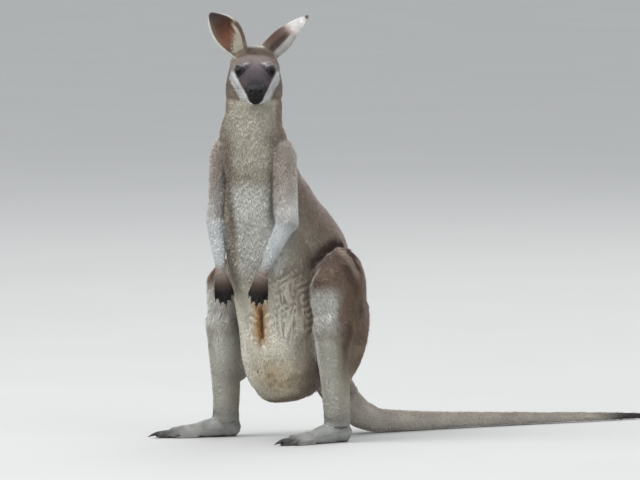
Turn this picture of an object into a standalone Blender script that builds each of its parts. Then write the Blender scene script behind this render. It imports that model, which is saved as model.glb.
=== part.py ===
"""A life-size whiptail wallaby, an adult female with a full pouch, standing upright.

Units are metres, +Z is up, the pelvis faces -Y and the animal's left is +X.
Each region is lofted through a few rings, the lofts are fused, and the fused body is parted
by thin discs into head, neck, trunk, limbs and tail.
"""

import math
from collections import namedtuple

import bmesh
import bpy
import numpy as np
from mathutils import Vector

# A ring of a loft. wide is its half-width to either side; plus is its half-depth towards
# tangent x side (the front on a path that runs down, the top on one that runs forward) and
# minus the other way; heading turns the side axis about Z, in degrees, 0 for a -Y facing.
Ring = namedtuple("Ring", "x y z wide plus minus heading")

# ---- Driving dimensions ---------------------------------------------------------------

GAP = 0.0003
BODY_VOXEL = 0.0034
FINE_VOXEL = 0.0013
TRUNK_TRIANGLES = 1300
LEG_TRIANGLES = 400
ARM_TRIANGLES = 170
HEAD_TRIANGLES = 1350
HAND_TRIANGLES = 260
FOOT_TRIANGLES = 230

TORSO = (
    Ring(-0.013, -0.078, 0.640, 0.054, 0.048, 0.052, 38),
    Ring(-0.012, -0.078, 0.600, 0.066, 0.056, 0.062, 34),
    Ring(-0.010, -0.070, 0.550, 0.073, 0.064, 0.074, 30),
    Ring(-0.007, -0.050, 0.490, 0.074, 0.076, 0.092, 25),
    Ring(-0.004, -0.012, 0.420, 0.082, 0.090, 0.108, 16),
    Ring(0.000, 0.030, 0.350, 0.094, 0.100, 0.116, 8),
    Ring(0.000, 0.058, 0.285, 0.096, 0.090, 0.102, 2),
    Ring(0.000, 0.078, 0.225, 0.078, 0.070, 0.080, 0),
    Ring(0.000, 0.092, 0.175, 0.052, 0.048, 0.052, 0),
)
POUCH = (
    Ring(-0.007, -0.078, 0.520, 0.058, 0.054, 0.050, 30),
    Ring(-0.006, -0.062, 0.440, 0.074, 0.074, 0.070, 27),
    Ring(-0.001, -0.030, 0.350, 0.092, 0.098, 0.080, 20),
    Ring(0.000, -0.008, 0.270, 0.092, 0.100, 0.080, 14),
    Ring(0.001, 0.000, 0.200, 0.088, 0.098, 0.080, 12),
    Ring(0.001, 0.004, 0.145, 0.083, 0.091, 0.078, 12),
    Ring(0.004, 0.012, 0.108, 0.066, 0.072, 0.068, 12),
)
POUCH_END = 0.033

NECK = (
    Ring(-0.012, -0.077, 0.600, 0.059, 0.056, 0.052, 38),
    Ring(-0.011, -0.075, 0.650, 0.0555, 0.050, 0.048, 42),
    Ring(-0.010, -0.075, 0.700, 0.0545, 0.048, 0.045, 45),
    Ring(-0.011, -0.076, 0.738, 0.045, 0.042, 0.036, 45),
)
NECK_END = 0.026

# The head's axis: its point at the eyes, its heading and how far it is pitched down.
HEAD_EYES = Vector((0.018, -0.100, 0.718))
HEAD_HEADING = 46.5
HEAD_PITCH = 25.0
# Along the head's axis from the eyes: (distance, half-width, above, below).
SKULL = (
    (-0.068, 0.030, 0.027, 0.030),
    (-0.054, 0.040, 0.036, 0.042),
    (-0.028, 0.0475, 0.039, 0.050),
    (-0.006, 0.0470, 0.033, 0.049),
    (0.016, 0.0380, 0.026, 0.044),
    (0.036, 0.0295, 0.022, 0.042),
    (0.054, 0.0260, 0.019, 0.039),
    (0.068, 0.0235, 0.017, 0.037),
    (0.078, 0.0190, 0.013, 0.031),
)
SKULL_START = 0.014
SKULL_END = 0.007
EYE_RADIUS = 0.0113
EYE_ASIDE = 0.0288
EYE_AHEAD = 0.0150
EYE_ABOVE = 0.0155
# The balls that fill each brow, lip and jowl: (ahead, aside, above), radius.
BROW = ((0.006, 0.0238, 0.0160), 0.0150)
JOWL = ((0.032, 0.0165, -0.0200), 0.0160)
MOUTH = ((0.052, 0.0125, -0.0200), 0.0145)
LIP = ((0.066, 0.0080, -0.006), 0.0135)

EAR_LENGTH_STEPS = 8
EAR_ROUND_STEPS = 8
EAR_THICKNESS = 0.0032
EAR_ROOT = 0.014
# Each ear: side, base, tip, the way its hollow faces, its bow and its slimness.
EARS = (
    ("r", Vector((-0.023, -0.101, 0.760)), Vector((-0.079, -0.127, 0.834)), Vector((0.60, -0.80, 0.0)),
     0.0065, 0.05),
    ("l", Vector((0.006, -0.065, 0.766)), Vector((0.056, 0.006, 0.829)), Vector((-0.035, 0.81, -0.50)),
     0.0090, 0.38),
)

# Bezier points of each leg, and the ends of each foot.
Leg = namedtuple("Leg", "side rear hip knee ankle heel toe")
LEGS = (
    Leg("l", Vector((0.051, 0.112, 0.272)), Vector((0.102, 0.060, 0.300)), Vector((0.112, -0.003, 0.280)),
        Vector((0.111, 0.033, 0.038)), Vector((0.111, 0.068, 0.0)), Vector((0.091, -0.121, 0.0))),
    Leg("r", Vector((-0.051, 0.108, 0.272)), Vector((-0.102, 0.045, 0.300)), Vector((-0.117, -0.062, 0.278)),
        Vector((-0.137, -0.028, 0.038)), Vector((-0.125, 0.002, 0.0)), Vector((-0.207, -0.166, 0.0))),
)
# Along each length from its upper end: (share, half-width, plus, minus).
THIGH = (
    (0.00, 0.038, 0.050, 0.068),
    (0.25, 0.045, 0.074, 0.084),
    (0.50, 0.049, 0.093, 0.084),
    (0.78, 0.043, 0.078, 0.068),
    (1.00, 0.035, 0.058, 0.052),
)
HAMSTRING = (
    (0.00, 0.044, 0.050, 0.052),
    (0.35, 0.040, 0.046, 0.046),
    (0.70, 0.030, 0.036, 0.036),
    (1.00, 0.016, 0.022, 0.022),
)
SHIN = (
    (0.00, 0.026, 0.016, 0.060),
    (0.12, 0.031, 0.028, 0.074),
    (0.26, 0.0305, 0.032, 0.072),
    (0.42, 0.0285, 0.032, 0.056),
    (0.62, 0.0265, 0.030, 0.036),
    (0.82, 0.0255, 0.0275, 0.0275),
    (1.00, 0.0250, 0.0265, 0.0275),
)
# The cuts across each leg, from its knee and its ankle.
KNEE_CUT = Vector((0, 0.040, -0.080))
KNEE_CUT_WAY = Vector((0, 0.25, 1.0))
KNEE_CUT_RADIUS = 0.20
ANKLE_CUT = Vector((0, 0, 0.016))
# Along the foot from the heel: (distance, half-width, height).
FOOT = (
    (0.014, 0.0150, 0.034),
    (0.034, 0.0200, 0.050),
    (0.056, 0.0190, 0.039),
    (0.088, 0.0175, 0.029),
    (0.118, 0.0190, 0.0245),
    (0.138, 0.0165, 0.022),
)
SOLE_DEPTH = 0.004
# Toes of a foot, the fourth, the fifth, and the second and third in one skin: root and tip
# (ahead, aside), half-width at root and tip, height at both.
TOES = (
    ((0.118, 0.001), (0.168, 0.002), 0.0110, 0.0088, 0.0205, 0.0150),
    ((0.104, 0.013), (0.142, 0.0165), 0.0078, 0.0060, 0.0160, 0.0115),
    ((0.096, -0.0125), (0.134, -0.0135), 0.0068, 0.0052, 0.0145, 0.0105),
)
# Claws of a foot: name, root (ahead, aside, height), length, radius, drop of the tip.
HIND_CLAWS = (
    ("fourth", (0.170, 0.002, 0.0095), 0.022, 0.0056, 0.0065),
    ("fifth", (0.1425, 0.0168, 0.0072), 0.014, 0.0038, 0.0050),
    ("third", (0.1340, -0.0115, 0.0066), 0.010, 0.0019, 0.0040),
    ("second", (0.1335, -0.0162, 0.0066), 0.010, 0.0019, 0.0040),
)

# Along the tail: (x, y, z, half-width, half-height).
TAIL = (
    (0.000, 0.085, 0.215, 0.052, 0.054),
    (0.000, 0.100, 0.165, 0.046, 0.048),
    (0.000, 0.126, 0.112, 0.038, 0.040),
    (0.002, 0.170, 0.062, 0.031, 0.033),
    (0.006, 0.216, 0.034, 0.026, 0.028),
    (0.014, 0.268, 0.0225, 0.0225, 0.0235),
    (0.045, 0.420, 0.0165, 0.0170, 0.0175),
    (0.095, 0.600, 0.0125, 0.0130, 0.0135),
    (0.140, 0.750, 0.0090, 0.0095, 0.0100),
    (0.162, 0.850, 0.0060, 0.0065, 0.0070),
)
TAIL_END = 0.020

TRUNK_MIDDLE = Vector((0.0, 0.0, 0.330))
# The thin cuts across neck and tail: a point and the way the cut faces.
NECK_CUT_RADII = (0.090, 0.100)
TAIL_CUT_RADIUS = 0.062
NECK_TOP = Vector((-0.012, -0.077, 0.676))
NECK_FOOT = Vector((-0.012, -0.078, 0.612))
NECK_WAY = Vector((0.10, -0.10, 1.0))
TAIL_CUTS = (
    (Vector((0.001, 0.148, 0.085)), Vector((0.0, 0.66, -0.75))),
    (Vector((0.016, 0.280, 0.022)), Vector((0.15, 1.0, 0.0))),
    (Vector((0.058, 0.470, 0.015)), Vector((0.26, 1.0, 0.0))),
    (Vector((0.116, 0.670, 0.011)), Vector((0.28, 1.0, 0.0))),
)

Arm = namedtuple("Arm", "side shoulder elbow wrist knuckles heading wide")
ARMS = (
    Arm("l", Vector((0.045, -0.054, 0.552)), Vector((0.082, -0.076, 0.430)),
        Vector((0.060, -0.124, 0.330)), Vector((0.060, -0.132, 0.298)), 40, 0.0245),
    Arm("r", Vector((-0.062, -0.104, 0.556)), Vector((-0.077, -0.114, 0.430)),
        Vector((-0.026, -0.150, 0.330)), Vector((-0.016, -0.152, 0.298)), 40, 0.0215),
)
ELBOW_CUT = Vector((0, 0, 0.004))
ELBOW_CUT_RADIUS = 0.10
# Along the forearm and the palm: (share, half-width, plus, minus).
FOREARM = (
    (0.00, 0.0195, 0.0215, 0.0225),
    (0.35, 0.0170, 0.0180, 0.0180),
    (0.75, 0.0135, 0.0130, 0.0130),
    (1.00, 0.0125, 0.0105, 0.0105),
)
PALM = (
    (0.0, 0.0125, 0.0105, 0.0105),
    (0.5, 0.0150, 0.0108, 0.0108),
    (1.0, 0.0168, 0.0090, 0.0090),
)

# Fingers: share across the hand towards the thumb side, length, radius, curl towards the palm.
FINGERS = (
    ("fifth", -1.00, 0.0150, 0.0040, 0.20),
    ("fourth", -0.52, 0.0205, 0.0043, 0.10),
    ("third", 0.00, 0.0220, 0.0043, 0.06),
    ("second", 0.52, 0.0195, 0.0042, 0.10),
    ("first", 1.00, 0.0125, 0.0038, 0.22),
)
FINGER_SPREAD = 0.0150
CLAW_LENGTH = 0.0125

# Colours of the coat and the bare parts: red, green, blue and roughness.
COLOURS = {
    "head": (0.20, 0.15, 0.13, 0.85),
    "neck": (0.33, 0.28, 0.22, 0.85),
    "trunk": (0.36, 0.29, 0.22, 0.85),
    "tail": (0.38, 0.34, 0.29, 0.85),
    "ear": (0.24, 0.15, 0.10, 0.80),
    "eye": (0.01, 0.008, 0.006, 0.08),
    "upper_arm": (0.35, 0.30, 0.24, 0.85),
    "forearm": (0.48, 0.46, 0.43, 0.85),
    "hand": (0.05, 0.03, 0.025, 0.80),
    "thigh": (0.30, 0.22, 0.18, 0.85),
    "shin": (0.45, 0.41, 0.33, 0.85),
    "foot": (0.42, 0.37, 0.30, 0.85),
    "claw": (0.02, 0.018, 0.016, 0.35),
}


# ---- Meshes ---------------------------------------------------------------------------


def new_object(name, bm):
    """Links a new object that holds bm's mesh, and frees bm."""
    mesh = bpy.data.meshes.new(name)
    bm.to_mesh(mesh)
    bm.free()
    obj = bpy.data.objects.new(name, mesh)
    bpy.context.scene.collection.objects.link(obj)
    return obj


def remove(obj):
    """Removes an object from the scene."""
    bpy.data.objects.remove(obj, do_unlink=True)


def settle_modifiers(obj):
    """Replaces obj's mesh by what its modifiers make, and clears them."""
    bpy.context.view_layer.update()
    graph = bpy.context.evaluated_depsgraph_get()
    mesh = bpy.data.meshes.new_from_object(obj.evaluated_get(graph))
    obj.modifiers.clear()
    obj.data = mesh
    return obj


def smooth_through(values, steps):
    """Catmull-Rom samples through rows of values, with steps spans between two rows."""
    rows = np.vstack([2 * values[0] - values[1], values, 2 * values[-1] - values[-2]])
    out = []
    for i in range(1, len(rows) - 2):
        a, b, c, d = rows[i - 1 : i + 3]
        for t in np.linspace(0, 1, steps, endpoint=False):
            out.append(0.5 * (2 * b + (c - a) * t + (2 * a - 5 * b + 4 * c - d) * t**2
                              + (3 * b - a - 3 * c + d) * t**3))
    out.append(rows[-2])
    return np.array(out)


def ring_axes(centres, headings):
    """The side and plus axes at each centre, square to the path."""
    tangents = np.gradient(centres, axis=0)
    tangents /= np.linalg.norm(tangents, axis=1)[:, None]
    turn = np.radians(headings)
    sides = np.stack([np.cos(turn), np.sin(turn), np.zeros(len(turn))], axis=1)
    sides -= tangents * np.sum(sides * tangents, axis=1)[:, None]
    sides /= np.linalg.norm(sides, axis=1)[:, None]
    return tangents, sides, np.cross(tangents, sides)


def loft(rings, start=0.0, end=0.0, corners=26, steps=5, cap_steps=5):
    """A closed tube through rings, with round ends that stand out by start and end."""
    rows = smooth_through(np.array(rings, float), steps)
    centres, wide, plus, minus, headings = rows[:, :3], rows[:, 3], rows[:, 4], rows[:, 5], rows[:, 6]
    tangents, sides, ups = ring_axes(centres, headings)
    turn = np.linspace(0, 2 * math.pi, corners, endpoint=False)

    def ring(i, share=1.0, ahead=0.0):
        centre = centres[i] + tangents[i] * ahead
        depth = np.where(np.sin(turn) >= 0, plus[i], minus[i]) * np.sin(turn) * share
        across = wide[i] * np.cos(turn) * share
        return centre + np.outer(across, sides[i]) + np.outer(depth, ups[i])

    bm = bmesh.new()
    loops = []
    angles = np.linspace(0, math.pi / 2, cap_steps + 1)[1:-1]
    if start > 0:
        loops += [ring(0, math.cos(a), -start * math.sin(a)) for a in angles[::-1]]
    loops += [ring(i) for i in range(len(centres))]
    if end > 0:
        loops += [ring(-1, math.cos(a), end * math.sin(a)) for a in angles]
    made = [[bm.verts.new(p) for p in points] for points in loops]
    for low, high in zip(made, made[1:]):
        for j in range(corners):
            k = (j + 1) % corners
            bm.faces.new((low[j], low[k], high[k], high[j]))
    for loop, ahead in ((made[0], -start), (made[-1], end)):
        edge = 0 if loop is made[0] else -1
        tip = bm.verts.new(centres[edge] + tangents[edge] * ahead)
        for j in range(corners):
            bm.faces.new((loop[j], loop[(j + 1) % corners], tip))
    bmesh.ops.recalc_face_normals(bm, faces=bm.faces)
    return bm


def ball(centre, radius, segments=14, rings=8):
    """A closed sphere."""
    bm = bmesh.new()
    bmesh.ops.create_uvsphere(bm, u_segments=segments, v_segments=rings, radius=radius)
    bmesh.ops.translate(bm, verts=bm.verts, vec=centre)
    return bm


def fuse(name, shapes, voxel, triangles, rounds=6):
    """Joins closed shapes into one skin: voxel remesh, smooth, then collapse to triangles."""
    whole = bmesh.new()
    for bm in shapes:
        mesh = bpy.data.meshes.new("shape")
        bm.to_mesh(mesh)
        bm.free()
        whole.from_mesh(mesh)
        bpy.data.meshes.remove(mesh)
    obj = new_object(name, whole)
    remesh = obj.modifiers.new("Fuse", "REMESH")
    remesh.mode = "VOXEL"
    remesh.voxel_size = voxel
    settle_modifiers(obj)
    smooth = obj.modifiers.new("Soften", "SMOOTH")
    smooth.factor = 0.5
    smooth.iterations = rounds
    settle_modifiers(obj)
    count = sum(len(p.vertices) - 2 for p in obj.data.polygons)
    collapse = obj.modifiers.new("Collapse", "DECIMATE")
    collapse.ratio = min(1.0, triangles / count)
    settle_modifiers(obj)
    return keep_largest(obj)


def slice_flat(obj, point, normal):
    """Cuts obj with a plane, keeps the side that normal points to, and closes the cut."""
    bm = bmesh.new()
    bm.from_mesh(obj.data)
    everything = bm.verts[:] + bm.edges[:] + bm.faces[:]
    cut = bmesh.ops.bisect_plane(bm, geom=everything, dist=1e-6, plane_co=point, plane_no=normal,
                                 clear_inner=True)
    rim = [e for e in cut["geom_cut"] if isinstance(e, bmesh.types.BMEdge)]
    bmesh.ops.holes_fill(bm, edges=rim, sides=0)
    bmesh.ops.triangulate(bm, faces=bm.faces)
    bm.to_mesh(obj.data)
    bm.free()
    return obj


def disc(centre, normal, radius, thickness=GAP, corners=24):
    """A thin closed disc, square to normal."""
    bm = bmesh.new()
    bmesh.ops.create_cone(bm, cap_ends=True, cap_tris=True, segments=corners, radius1=radius,
                          radius2=radius, depth=thickness)
    turn = Vector(normal).to_track_quat("Z", "Y").to_matrix().to_4x4()
    turn.translation = centre
    bmesh.ops.transform(bm, matrix=turn, verts=bm.verts)
    return bm


def carve(obj, shape):
    """Takes one closed shape away from obj."""
    cutter = new_object("cutter", shape)
    cutter.hide_render = True
    cutter.display_type = "WIRE"
    cut = obj.modifiers.new("Carve", "BOOLEAN")
    cut.operation = "DIFFERENCE"
    cut.solver = "EXACT"
    cut.object = cutter
    settle_modifiers(obj)
    remove(cutter)
    return obj


def islands(obj):
    """The separate closed shells of obj, each as a list of face indices."""
    bm = bmesh.new()
    bm.from_mesh(obj.data)
    bm.faces.ensure_lookup_table()
    seen, found = set(), []
    for face in bm.faces:
        if face.index in seen:
            continue
        stack, shell = [face], []
        seen.add(face.index)
        while stack:
            f = stack.pop()
            shell.append(f.index)
            for edge in f.edges:
                for other in edge.link_faces:
                    if other.index not in seen:
                        seen.add(other.index)
                        stack.append(other)
        found.append(shell)
    bm.free()
    return found


def shell_mesh(mesh, shell):
    """The faces of mesh whose indices are in shell, as a new bmesh."""
    keep = set(shell)
    bm = bmesh.new()
    bm.from_mesh(mesh)
    bm.faces.ensure_lookup_table()
    drop = [f for f in bm.faces if f.index not in keep]
    bmesh.ops.delete(bm, geom=drop, context="FACES")
    return bm


def keep_largest(obj):
    """Drops all of obj but its largest closed shell."""
    bm = shell_mesh(obj.data, max(islands(obj), key=len))
    bm.to_mesh(obj.data)
    bm.free()
    return obj


def take_islands(obj, seeds):
    """Makes one object from each shell of obj whose middle is nearest a seed, and removes obj."""
    shells = islands(obj)
    mesh = obj.data
    middles = []
    for shell in shells:
        weights = np.array([mesh.polygons[i].area for i in shell])
        centres = np.array([mesh.polygons[i].center[:] for i in shell])
        middles.append((centres * weights[:, None]).sum(0) / max(weights.sum(), 1e-12))
    made = {}
    for name, seed in seeds.items():
        nearest = min(range(len(shells)), key=lambda i: np.linalg.norm(middles[i] - np.array(seed)))
        made[name] = new_object(name, shell_mesh(mesh, shells[nearest]))
    remove(obj)
    return made


def outward(side):
    """1 for the left side, which is +X, and -1 for the right."""
    return 1 if side == "l" else -1


def bezier(a, b, c, t):
    """A point on the curve from a to c that b draws towards itself."""
    return a * (1 - t) ** 2 + b * 2 * t * (1 - t) + c * t**2


# ---- Head -----------------------------------------------------------------------------


def head_axes():
    """The head's forward, left and up directions."""
    turn, pitch = math.radians(HEAD_HEADING), math.radians(HEAD_PITCH)
    level = Vector((math.sin(turn), -math.cos(turn), 0))
    ahead = level * math.cos(pitch) - Vector((0, 0, 1)) * math.sin(pitch)
    left = Vector((math.cos(turn), math.sin(turn), 0))
    return ahead, left, left.cross(ahead) * -1


def head_point(ahead=0.0, left=0.0, up=0.0):
    """A point given from the middle of the head at the eyes."""
    f, s, u = head_axes()
    return HEAD_EYES + f * ahead + s * left + u * up


def skull_loft():
    """The skull and muzzle as one tube along the head's axis."""
    rings = []
    for ahead, wide, above, below in SKULL:
        rings.append(Ring(*head_point(ahead), wide, above, below, HEAD_HEADING))
    return loft(rings, start=SKULL_START, end=SKULL_END)


def eye_centre(side):
    """The middle of the eyeball on the side 1 for left, -1 for right."""
    return head_point(EYE_AHEAD, side * EYE_ASIDE, EYE_ABOVE)


def head_shapes():
    """Skull, neck, brows, lips and jowls."""
    shapes = [skull_loft(), loft(NECK, end=NECK_END)]
    for side in (1, -1):
        for (ahead, aside, above), radius in (BROW, LIP, JOWL, MOUTH):
            shapes.append(ball(head_point(ahead, side * aside, above), radius))
    return shapes


def ear(name, base, tip, facing, bow, slim):
    """A leaf-shaped cup, rolled at its base, bowed to one side and slimmer towards its tip."""
    axis = (tip - base).normalized()
    open_way = (facing - axis * facing.dot(axis)).normalized()
    side = axis.cross(open_way)
    start = base - axis * EAR_ROOT
    length = (tip - start).length
    bm = bmesh.new()
    rows = []
    for i in range(EAR_LENGTH_STEPS + 1):
        t = i / EAR_LENGTH_STEPS
        leaf = math.sin(math.pi * min(1.0, 0.20 + 0.80 * t) ** 0.95) ** 0.8
        half_arc = 0.0030 + 0.0385 * leaf * (1 - slim * t * t)
        half_turn = math.radians(45 + 92 * (1 - t) ** 1.5)
        radius = half_arc / half_turn
        middle = start + axis * (length * t) + side * (bow * math.sin(math.pi * t))
        row = []
        for j in range(EAR_ROUND_STEPS + 1):
            turn = half_turn * (2 * j / EAR_ROUND_STEPS - 1)
            out = side * (radius * math.sin(turn)) + open_way * (radius * (1 - math.cos(turn)))
            row.append(bm.verts.new(middle + out))
        rows.append(row)
    for low, high in zip(rows, rows[1:]):
        for j in range(EAR_ROUND_STEPS):
            bm.faces.new((low[j], low[j + 1], high[j + 1], high[j]))
    obj = new_object(name, bm)
    wall = obj.modifiers.new("Wall", "SOLIDIFY")
    wall.thickness = EAR_THICKNESS
    wall.offset = 0.0
    return settle_modifiers(obj)


# ---- Limbs and tail -------------------------------------------------------------------


def length_rings(points, table, heading, middle=None):
    """Rings along a straight or bezier length, from a table of shares and half-sizes."""
    rings = []
    for t, wide, plus, minus in table:
        a, b = points
        bend = middle if middle is not None else (a + b) / 2
        rings.append(Ring(*bezier(a, bend, b, t), wide, plus, minus, heading))
    return rings


def shin_rings(leg):
    """The shin's rings, and the point two thirds down it where the hamstring ends."""
    knee = leg.knee + Vector((0.002 * outward(leg.side), -0.002, -0.020))
    bend = (knee + leg.ankle) / 2 + Vector((0, 0.012, 0))
    return length_rings((knee, leg.ankle), SHIN, 0, bend), bezier(knee, bend, leg.ankle, 0.66)


def leg_shapes(leg):
    """Thigh, hamstring and shin of one leg."""
    out = outward(leg.side)
    thigh = length_rings((leg.rear, leg.knee), THIGH, 0, leg.hip)
    shin, low = shin_rings(leg)
    top = leg.rear + Vector((0.026 * out, -0.026, -0.004))
    bulge = (top + low) / 2 + Vector((0.008 * out, 0.030, 0.000))
    hamstring = length_rings((top, low), HAMSTRING, 0, bulge)
    return [loft(thigh, start=0.030, end=0.026), loft(hamstring), loft(shin, start=0.02, end=0.012)]


def foot_way(leg):
    """The level direction from a foot's heel to its toe."""
    return (leg.toe - leg.heel).normalized()


def foot_point(leg, ahead, aside, up=0.0):
    """A point given from the heel, with aside towards the outer toe."""
    way = foot_way(leg)
    left = Vector((-way.y, way.x, 0))
    return leg.heel + way * ahead + left * (aside * outward(leg.side)) + Vector((0, 0, up))


def foot_heading(leg):
    """The foot's heading, in degrees from -Y."""
    way = foot_way(leg)
    return math.degrees(math.atan2(way.x, -way.y))


def upright_ring(point, wide, height, heading):
    """A ring that stands on the floor, sunk by the depth that the sole loses."""
    half = (height + SOLE_DEPTH) / 2
    return Ring(point.x, point.y, half - SOLE_DEPTH, wide, half, half, heading)


def foot_shapes(leg):
    """Heel, instep and toes of one foot, and the low end of its shin."""
    heading = foot_heading(leg)
    rings = [upright_ring(foot_point(leg, s, 0), w, h, heading) for s, w, h in FOOT]
    shapes = [loft(rings, start=0.012, end=0.008)]
    for root, tip, wide_a, wide_b, high_a, high_b in TOES:
        ends = []
        for t in (0.0, 0.5, 1.0):
            at = foot_point(leg, root[0] + (tip[0] - root[0]) * t, root[1] + (tip[1] - root[1]) * t)
            ends.append(upright_ring(at, wide_a + (wide_b - wide_a) * t,
                                     high_a + (high_b - high_a) * t, heading))
        shapes.append(loft(ends, start=0.006, end=0.006, corners=16))
    shapes.append(loft(shin_rings(leg)[0], end=0.012))
    return shapes


def claw(root, way, droop, length, radius, grow=0.0, corners=6, steps=3):
    """A curved cone from inside the toe to a blunt point; grow fattens it for its socket."""
    bm = bmesh.new()
    side = way.cross(Vector((0, 0, 1)))
    if side.length < 0.2:
        side = way.cross(Vector((1, 0, 0)))
    side.normalize()
    up = side.cross(way)
    loops = []
    for i in range(steps + 1):
        t = i / steps
        at = root + way * (length * t - grow * (1 if i == 0 else 0)) + droop * t**2
        r = radius * (1 - t) ** 0.7 * 0.92 + radius * 0.08 + grow
        loops.append([bm.verts.new(at + side * r * math.cos(a) * 0.8 + up * r * math.sin(a))
                      for a in np.linspace(0, 2 * math.pi, corners, endpoint=False)])
    for low, high in zip(loops, loops[1:]):
        for j in range(corners):
            bm.faces.new((low[j], low[(j + 1) % corners], high[(j + 1) % corners], high[j]))
    bm.faces.new(loops[0])
    bm.faces.new(loops[-1])
    bmesh.ops.recalc_face_normals(bm, faces=bm.faces)
    bmesh.ops.triangulate(bm, faces=bm.faces)
    return bm


def hind_claws(leg, grow=0.0):
    """The foot's claws, rooted inside the toes."""
    ahead = foot_way(leg)
    made = []
    for name, root, length, radius, drop in HIND_CLAWS:
        at = foot_point(leg, root[0] - 0.003, root[1], root[2])
        made.append((f"claw_foot_{leg.side}_{name}",
                     claw(at, ahead, Vector((0, 0, -drop)), length + 0.003, radius, grow)))
    return made


def hand_frame(arm):
    """A hand's finger direction, its side towards the body's midline and its palm normal."""
    way = (arm.knuckles - arm.wrist).normalized()
    out = outward(arm.side)
    turn = math.radians(arm.heading)
    inner = Vector((-math.cos(turn), -math.sin(turn), 0)) * out
    inner = (inner - way * inner.dot(way)).normalized()
    return way, inner, way.cross(inner) * out


def finger_line(arm, share, length, curl):
    """A finger's root, direction and tip."""
    way, inner, palm = hand_frame(arm)
    root = arm.knuckles + inner * (FINGER_SPREAD * share * 0.8) - way * (0.006 * abs(share))
    line = (way + inner * 0.34 * share + palm * curl).normalized()
    return root, line, root + line * length


def arm_shapes(arm, low):
    """Upper arm and forearm or, with low, the forearm and hand."""
    upper_table = (
        (0.0, 0.030, 0.036, 0.036),
        (0.5, arm.wide + 0.0015, arm.wide + 0.003, arm.wide + 0.003),
        (1.0, arm.wide - 0.002, arm.wide, arm.wide),
    )
    upper = length_rings((arm.shoulder, arm.elbow), upper_table, arm.heading)
    fore = length_rings((arm.elbow + Vector((0, 0, 0.006)), arm.wrist), FOREARM, arm.heading)
    if not low:
        return [loft(upper, start=0.046, end=0.018), loft(fore, start=0.014, end=0.012)]
    palm_rings = length_rings((arm.wrist, arm.knuckles), PALM, arm.heading)
    shapes = [loft(fore, start=0.010), loft(palm_rings, start=0.01, end=0.007)]
    for _, share, length, radius, curl in FINGERS:
        root, line, tip = finger_line(arm, share, length, curl)
        rings = [Ring(*(root - line * 0.006), radius, radius, radius, arm.heading),
                 Ring(*((root + tip) / 2), radius, radius, radius, arm.heading),
                 Ring(*tip, radius * 0.9, radius * 0.9, radius * 0.9, arm.heading)]
        shapes.append(loft(rings, end=radius * 0.9, corners=12))
    return shapes


def hand_claws(arm, grow=0.0):
    """The hand's claws, rooted inside the fingers."""
    _, _, palm = hand_frame(arm)
    made = []
    for name, share, length, radius, curl in FINGERS:
        _, line, tip = finger_line(arm, share, length, curl)
        made.append((f"claw_hand_{arm.side}_{name}",
                     claw(tip - line * 0.0015, line, palm * 0.0035, CLAW_LENGTH, radius * 0.52, grow)))
    return made


def tail_loft():
    """The whole tail, its underside sunk a little below the floor where it lies."""
    rings = [Ring(x, y, z, wide, high, high, 0) for x, y, z, wide, high in TAIL]
    return loft(rings, end=TAIL_END)


# ---- The animal -----------------------------------------------------------------------


def grown(obj, amount):
    """A copy of obj's mesh with its skin moved out by amount."""
    bm = bmesh.new()
    bm.from_mesh(obj.data)
    bm.normal_update()
    for vert in bm.verts:
        vert.co += vert.normal * amount
    return bm


def cut_apart(obj, cuts, seeds):
    """Cuts obj with thin discs and names the pieces."""
    for centre, normal, radius in cuts:
        carve(obj, disc(centre, normal, radius))
    return take_islands(obj, seeds)


def trunk_parts():
    """Trunk, neck and tail, fused whole; also the whole, grown by the gap, to cut limbs with."""
    shapes = [loft(TORSO, start=0.03, end=0.02), loft(POUCH, start=0.02, end=POUCH_END),
              loft(NECK, end=NECK_END), tail_loft()]
    whole = fuse("whole_trunk", shapes, BODY_VOXEL, TRUNK_TRIANGLES, rounds=8)
    slice_flat(whole, Vector((0, 0, 0)), Vector((0, 0, 1)))
    cutter = new_object("trunk_grown", grown(whole, GAP))
    cuts = [(at, NECK_WAY, radius) for at, radius in zip((NECK_TOP, NECK_FOOT), NECK_CUT_RADII)]
    cuts += [(at, way, TAIL_CUT_RADIUS) for at, way in TAIL_CUTS]
    seeds = {"neck": (NECK_TOP + NECK_FOOT) / 2, "trunk": TRUNK_MIDDLE}
    for i, name in enumerate(("tail_base", "tail_middle", "tail_end")):
        seeds[name] = (TAIL_CUTS[i][0] + TAIL_CUTS[i + 1][0]) / 2
    seeds["tail_tip"] = Vector(TAIL[-2][:3])
    return cut_apart(whole, cuts, seeds), cutter


def take_away(obj, other):
    """Takes a copy of another object's solid away from obj, and keeps obj's largest shell."""
    bm = bmesh.new()
    bm.from_mesh(other.data)
    carve(obj, bm)
    return keep_largest(obj)


def leg_parts(leg, trunk):
    """Thigh, shin and foot of one leg, and its claws."""
    knee_cut = leg.knee + KNEE_CUT
    ankle_cut = leg.ankle + ANKLE_CUT
    whole = fuse(f"leg_{leg.side}", leg_shapes(leg), BODY_VOXEL, LEG_TRIANGLES, rounds=24)
    take_away(whole, trunk)
    slice_flat(whole, ankle_cut + Vector((0, 0, GAP / 2)), Vector((0, 0, 1)))
    seeds = {f"thigh_{leg.side}": leg.knee + Vector((0, 0.05, 0.0)),
             f"shin_{leg.side}": (knee_cut + ankle_cut) / 2}
    parts = cut_apart(whole, [(knee_cut, KNEE_CUT_WAY, KNEE_CUT_RADIUS)], seeds)
    foot = fuse(f"foot_{leg.side}", foot_shapes(leg), FINE_VOXEL, FOOT_TRIANGLES)
    slice_flat(foot, Vector((0, 0, 0)), Vector((0, 0, 1)))
    slice_flat(foot, ankle_cut - Vector((0, 0, GAP / 2)), Vector((0, 0, -1)))
    for _, socket in hind_claws(leg, GAP):
        carve(foot, socket)
    parts[foot.name] = foot
    for name, bm in hind_claws(leg):
        parts[name] = new_object(name, bm)
    return parts


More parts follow.
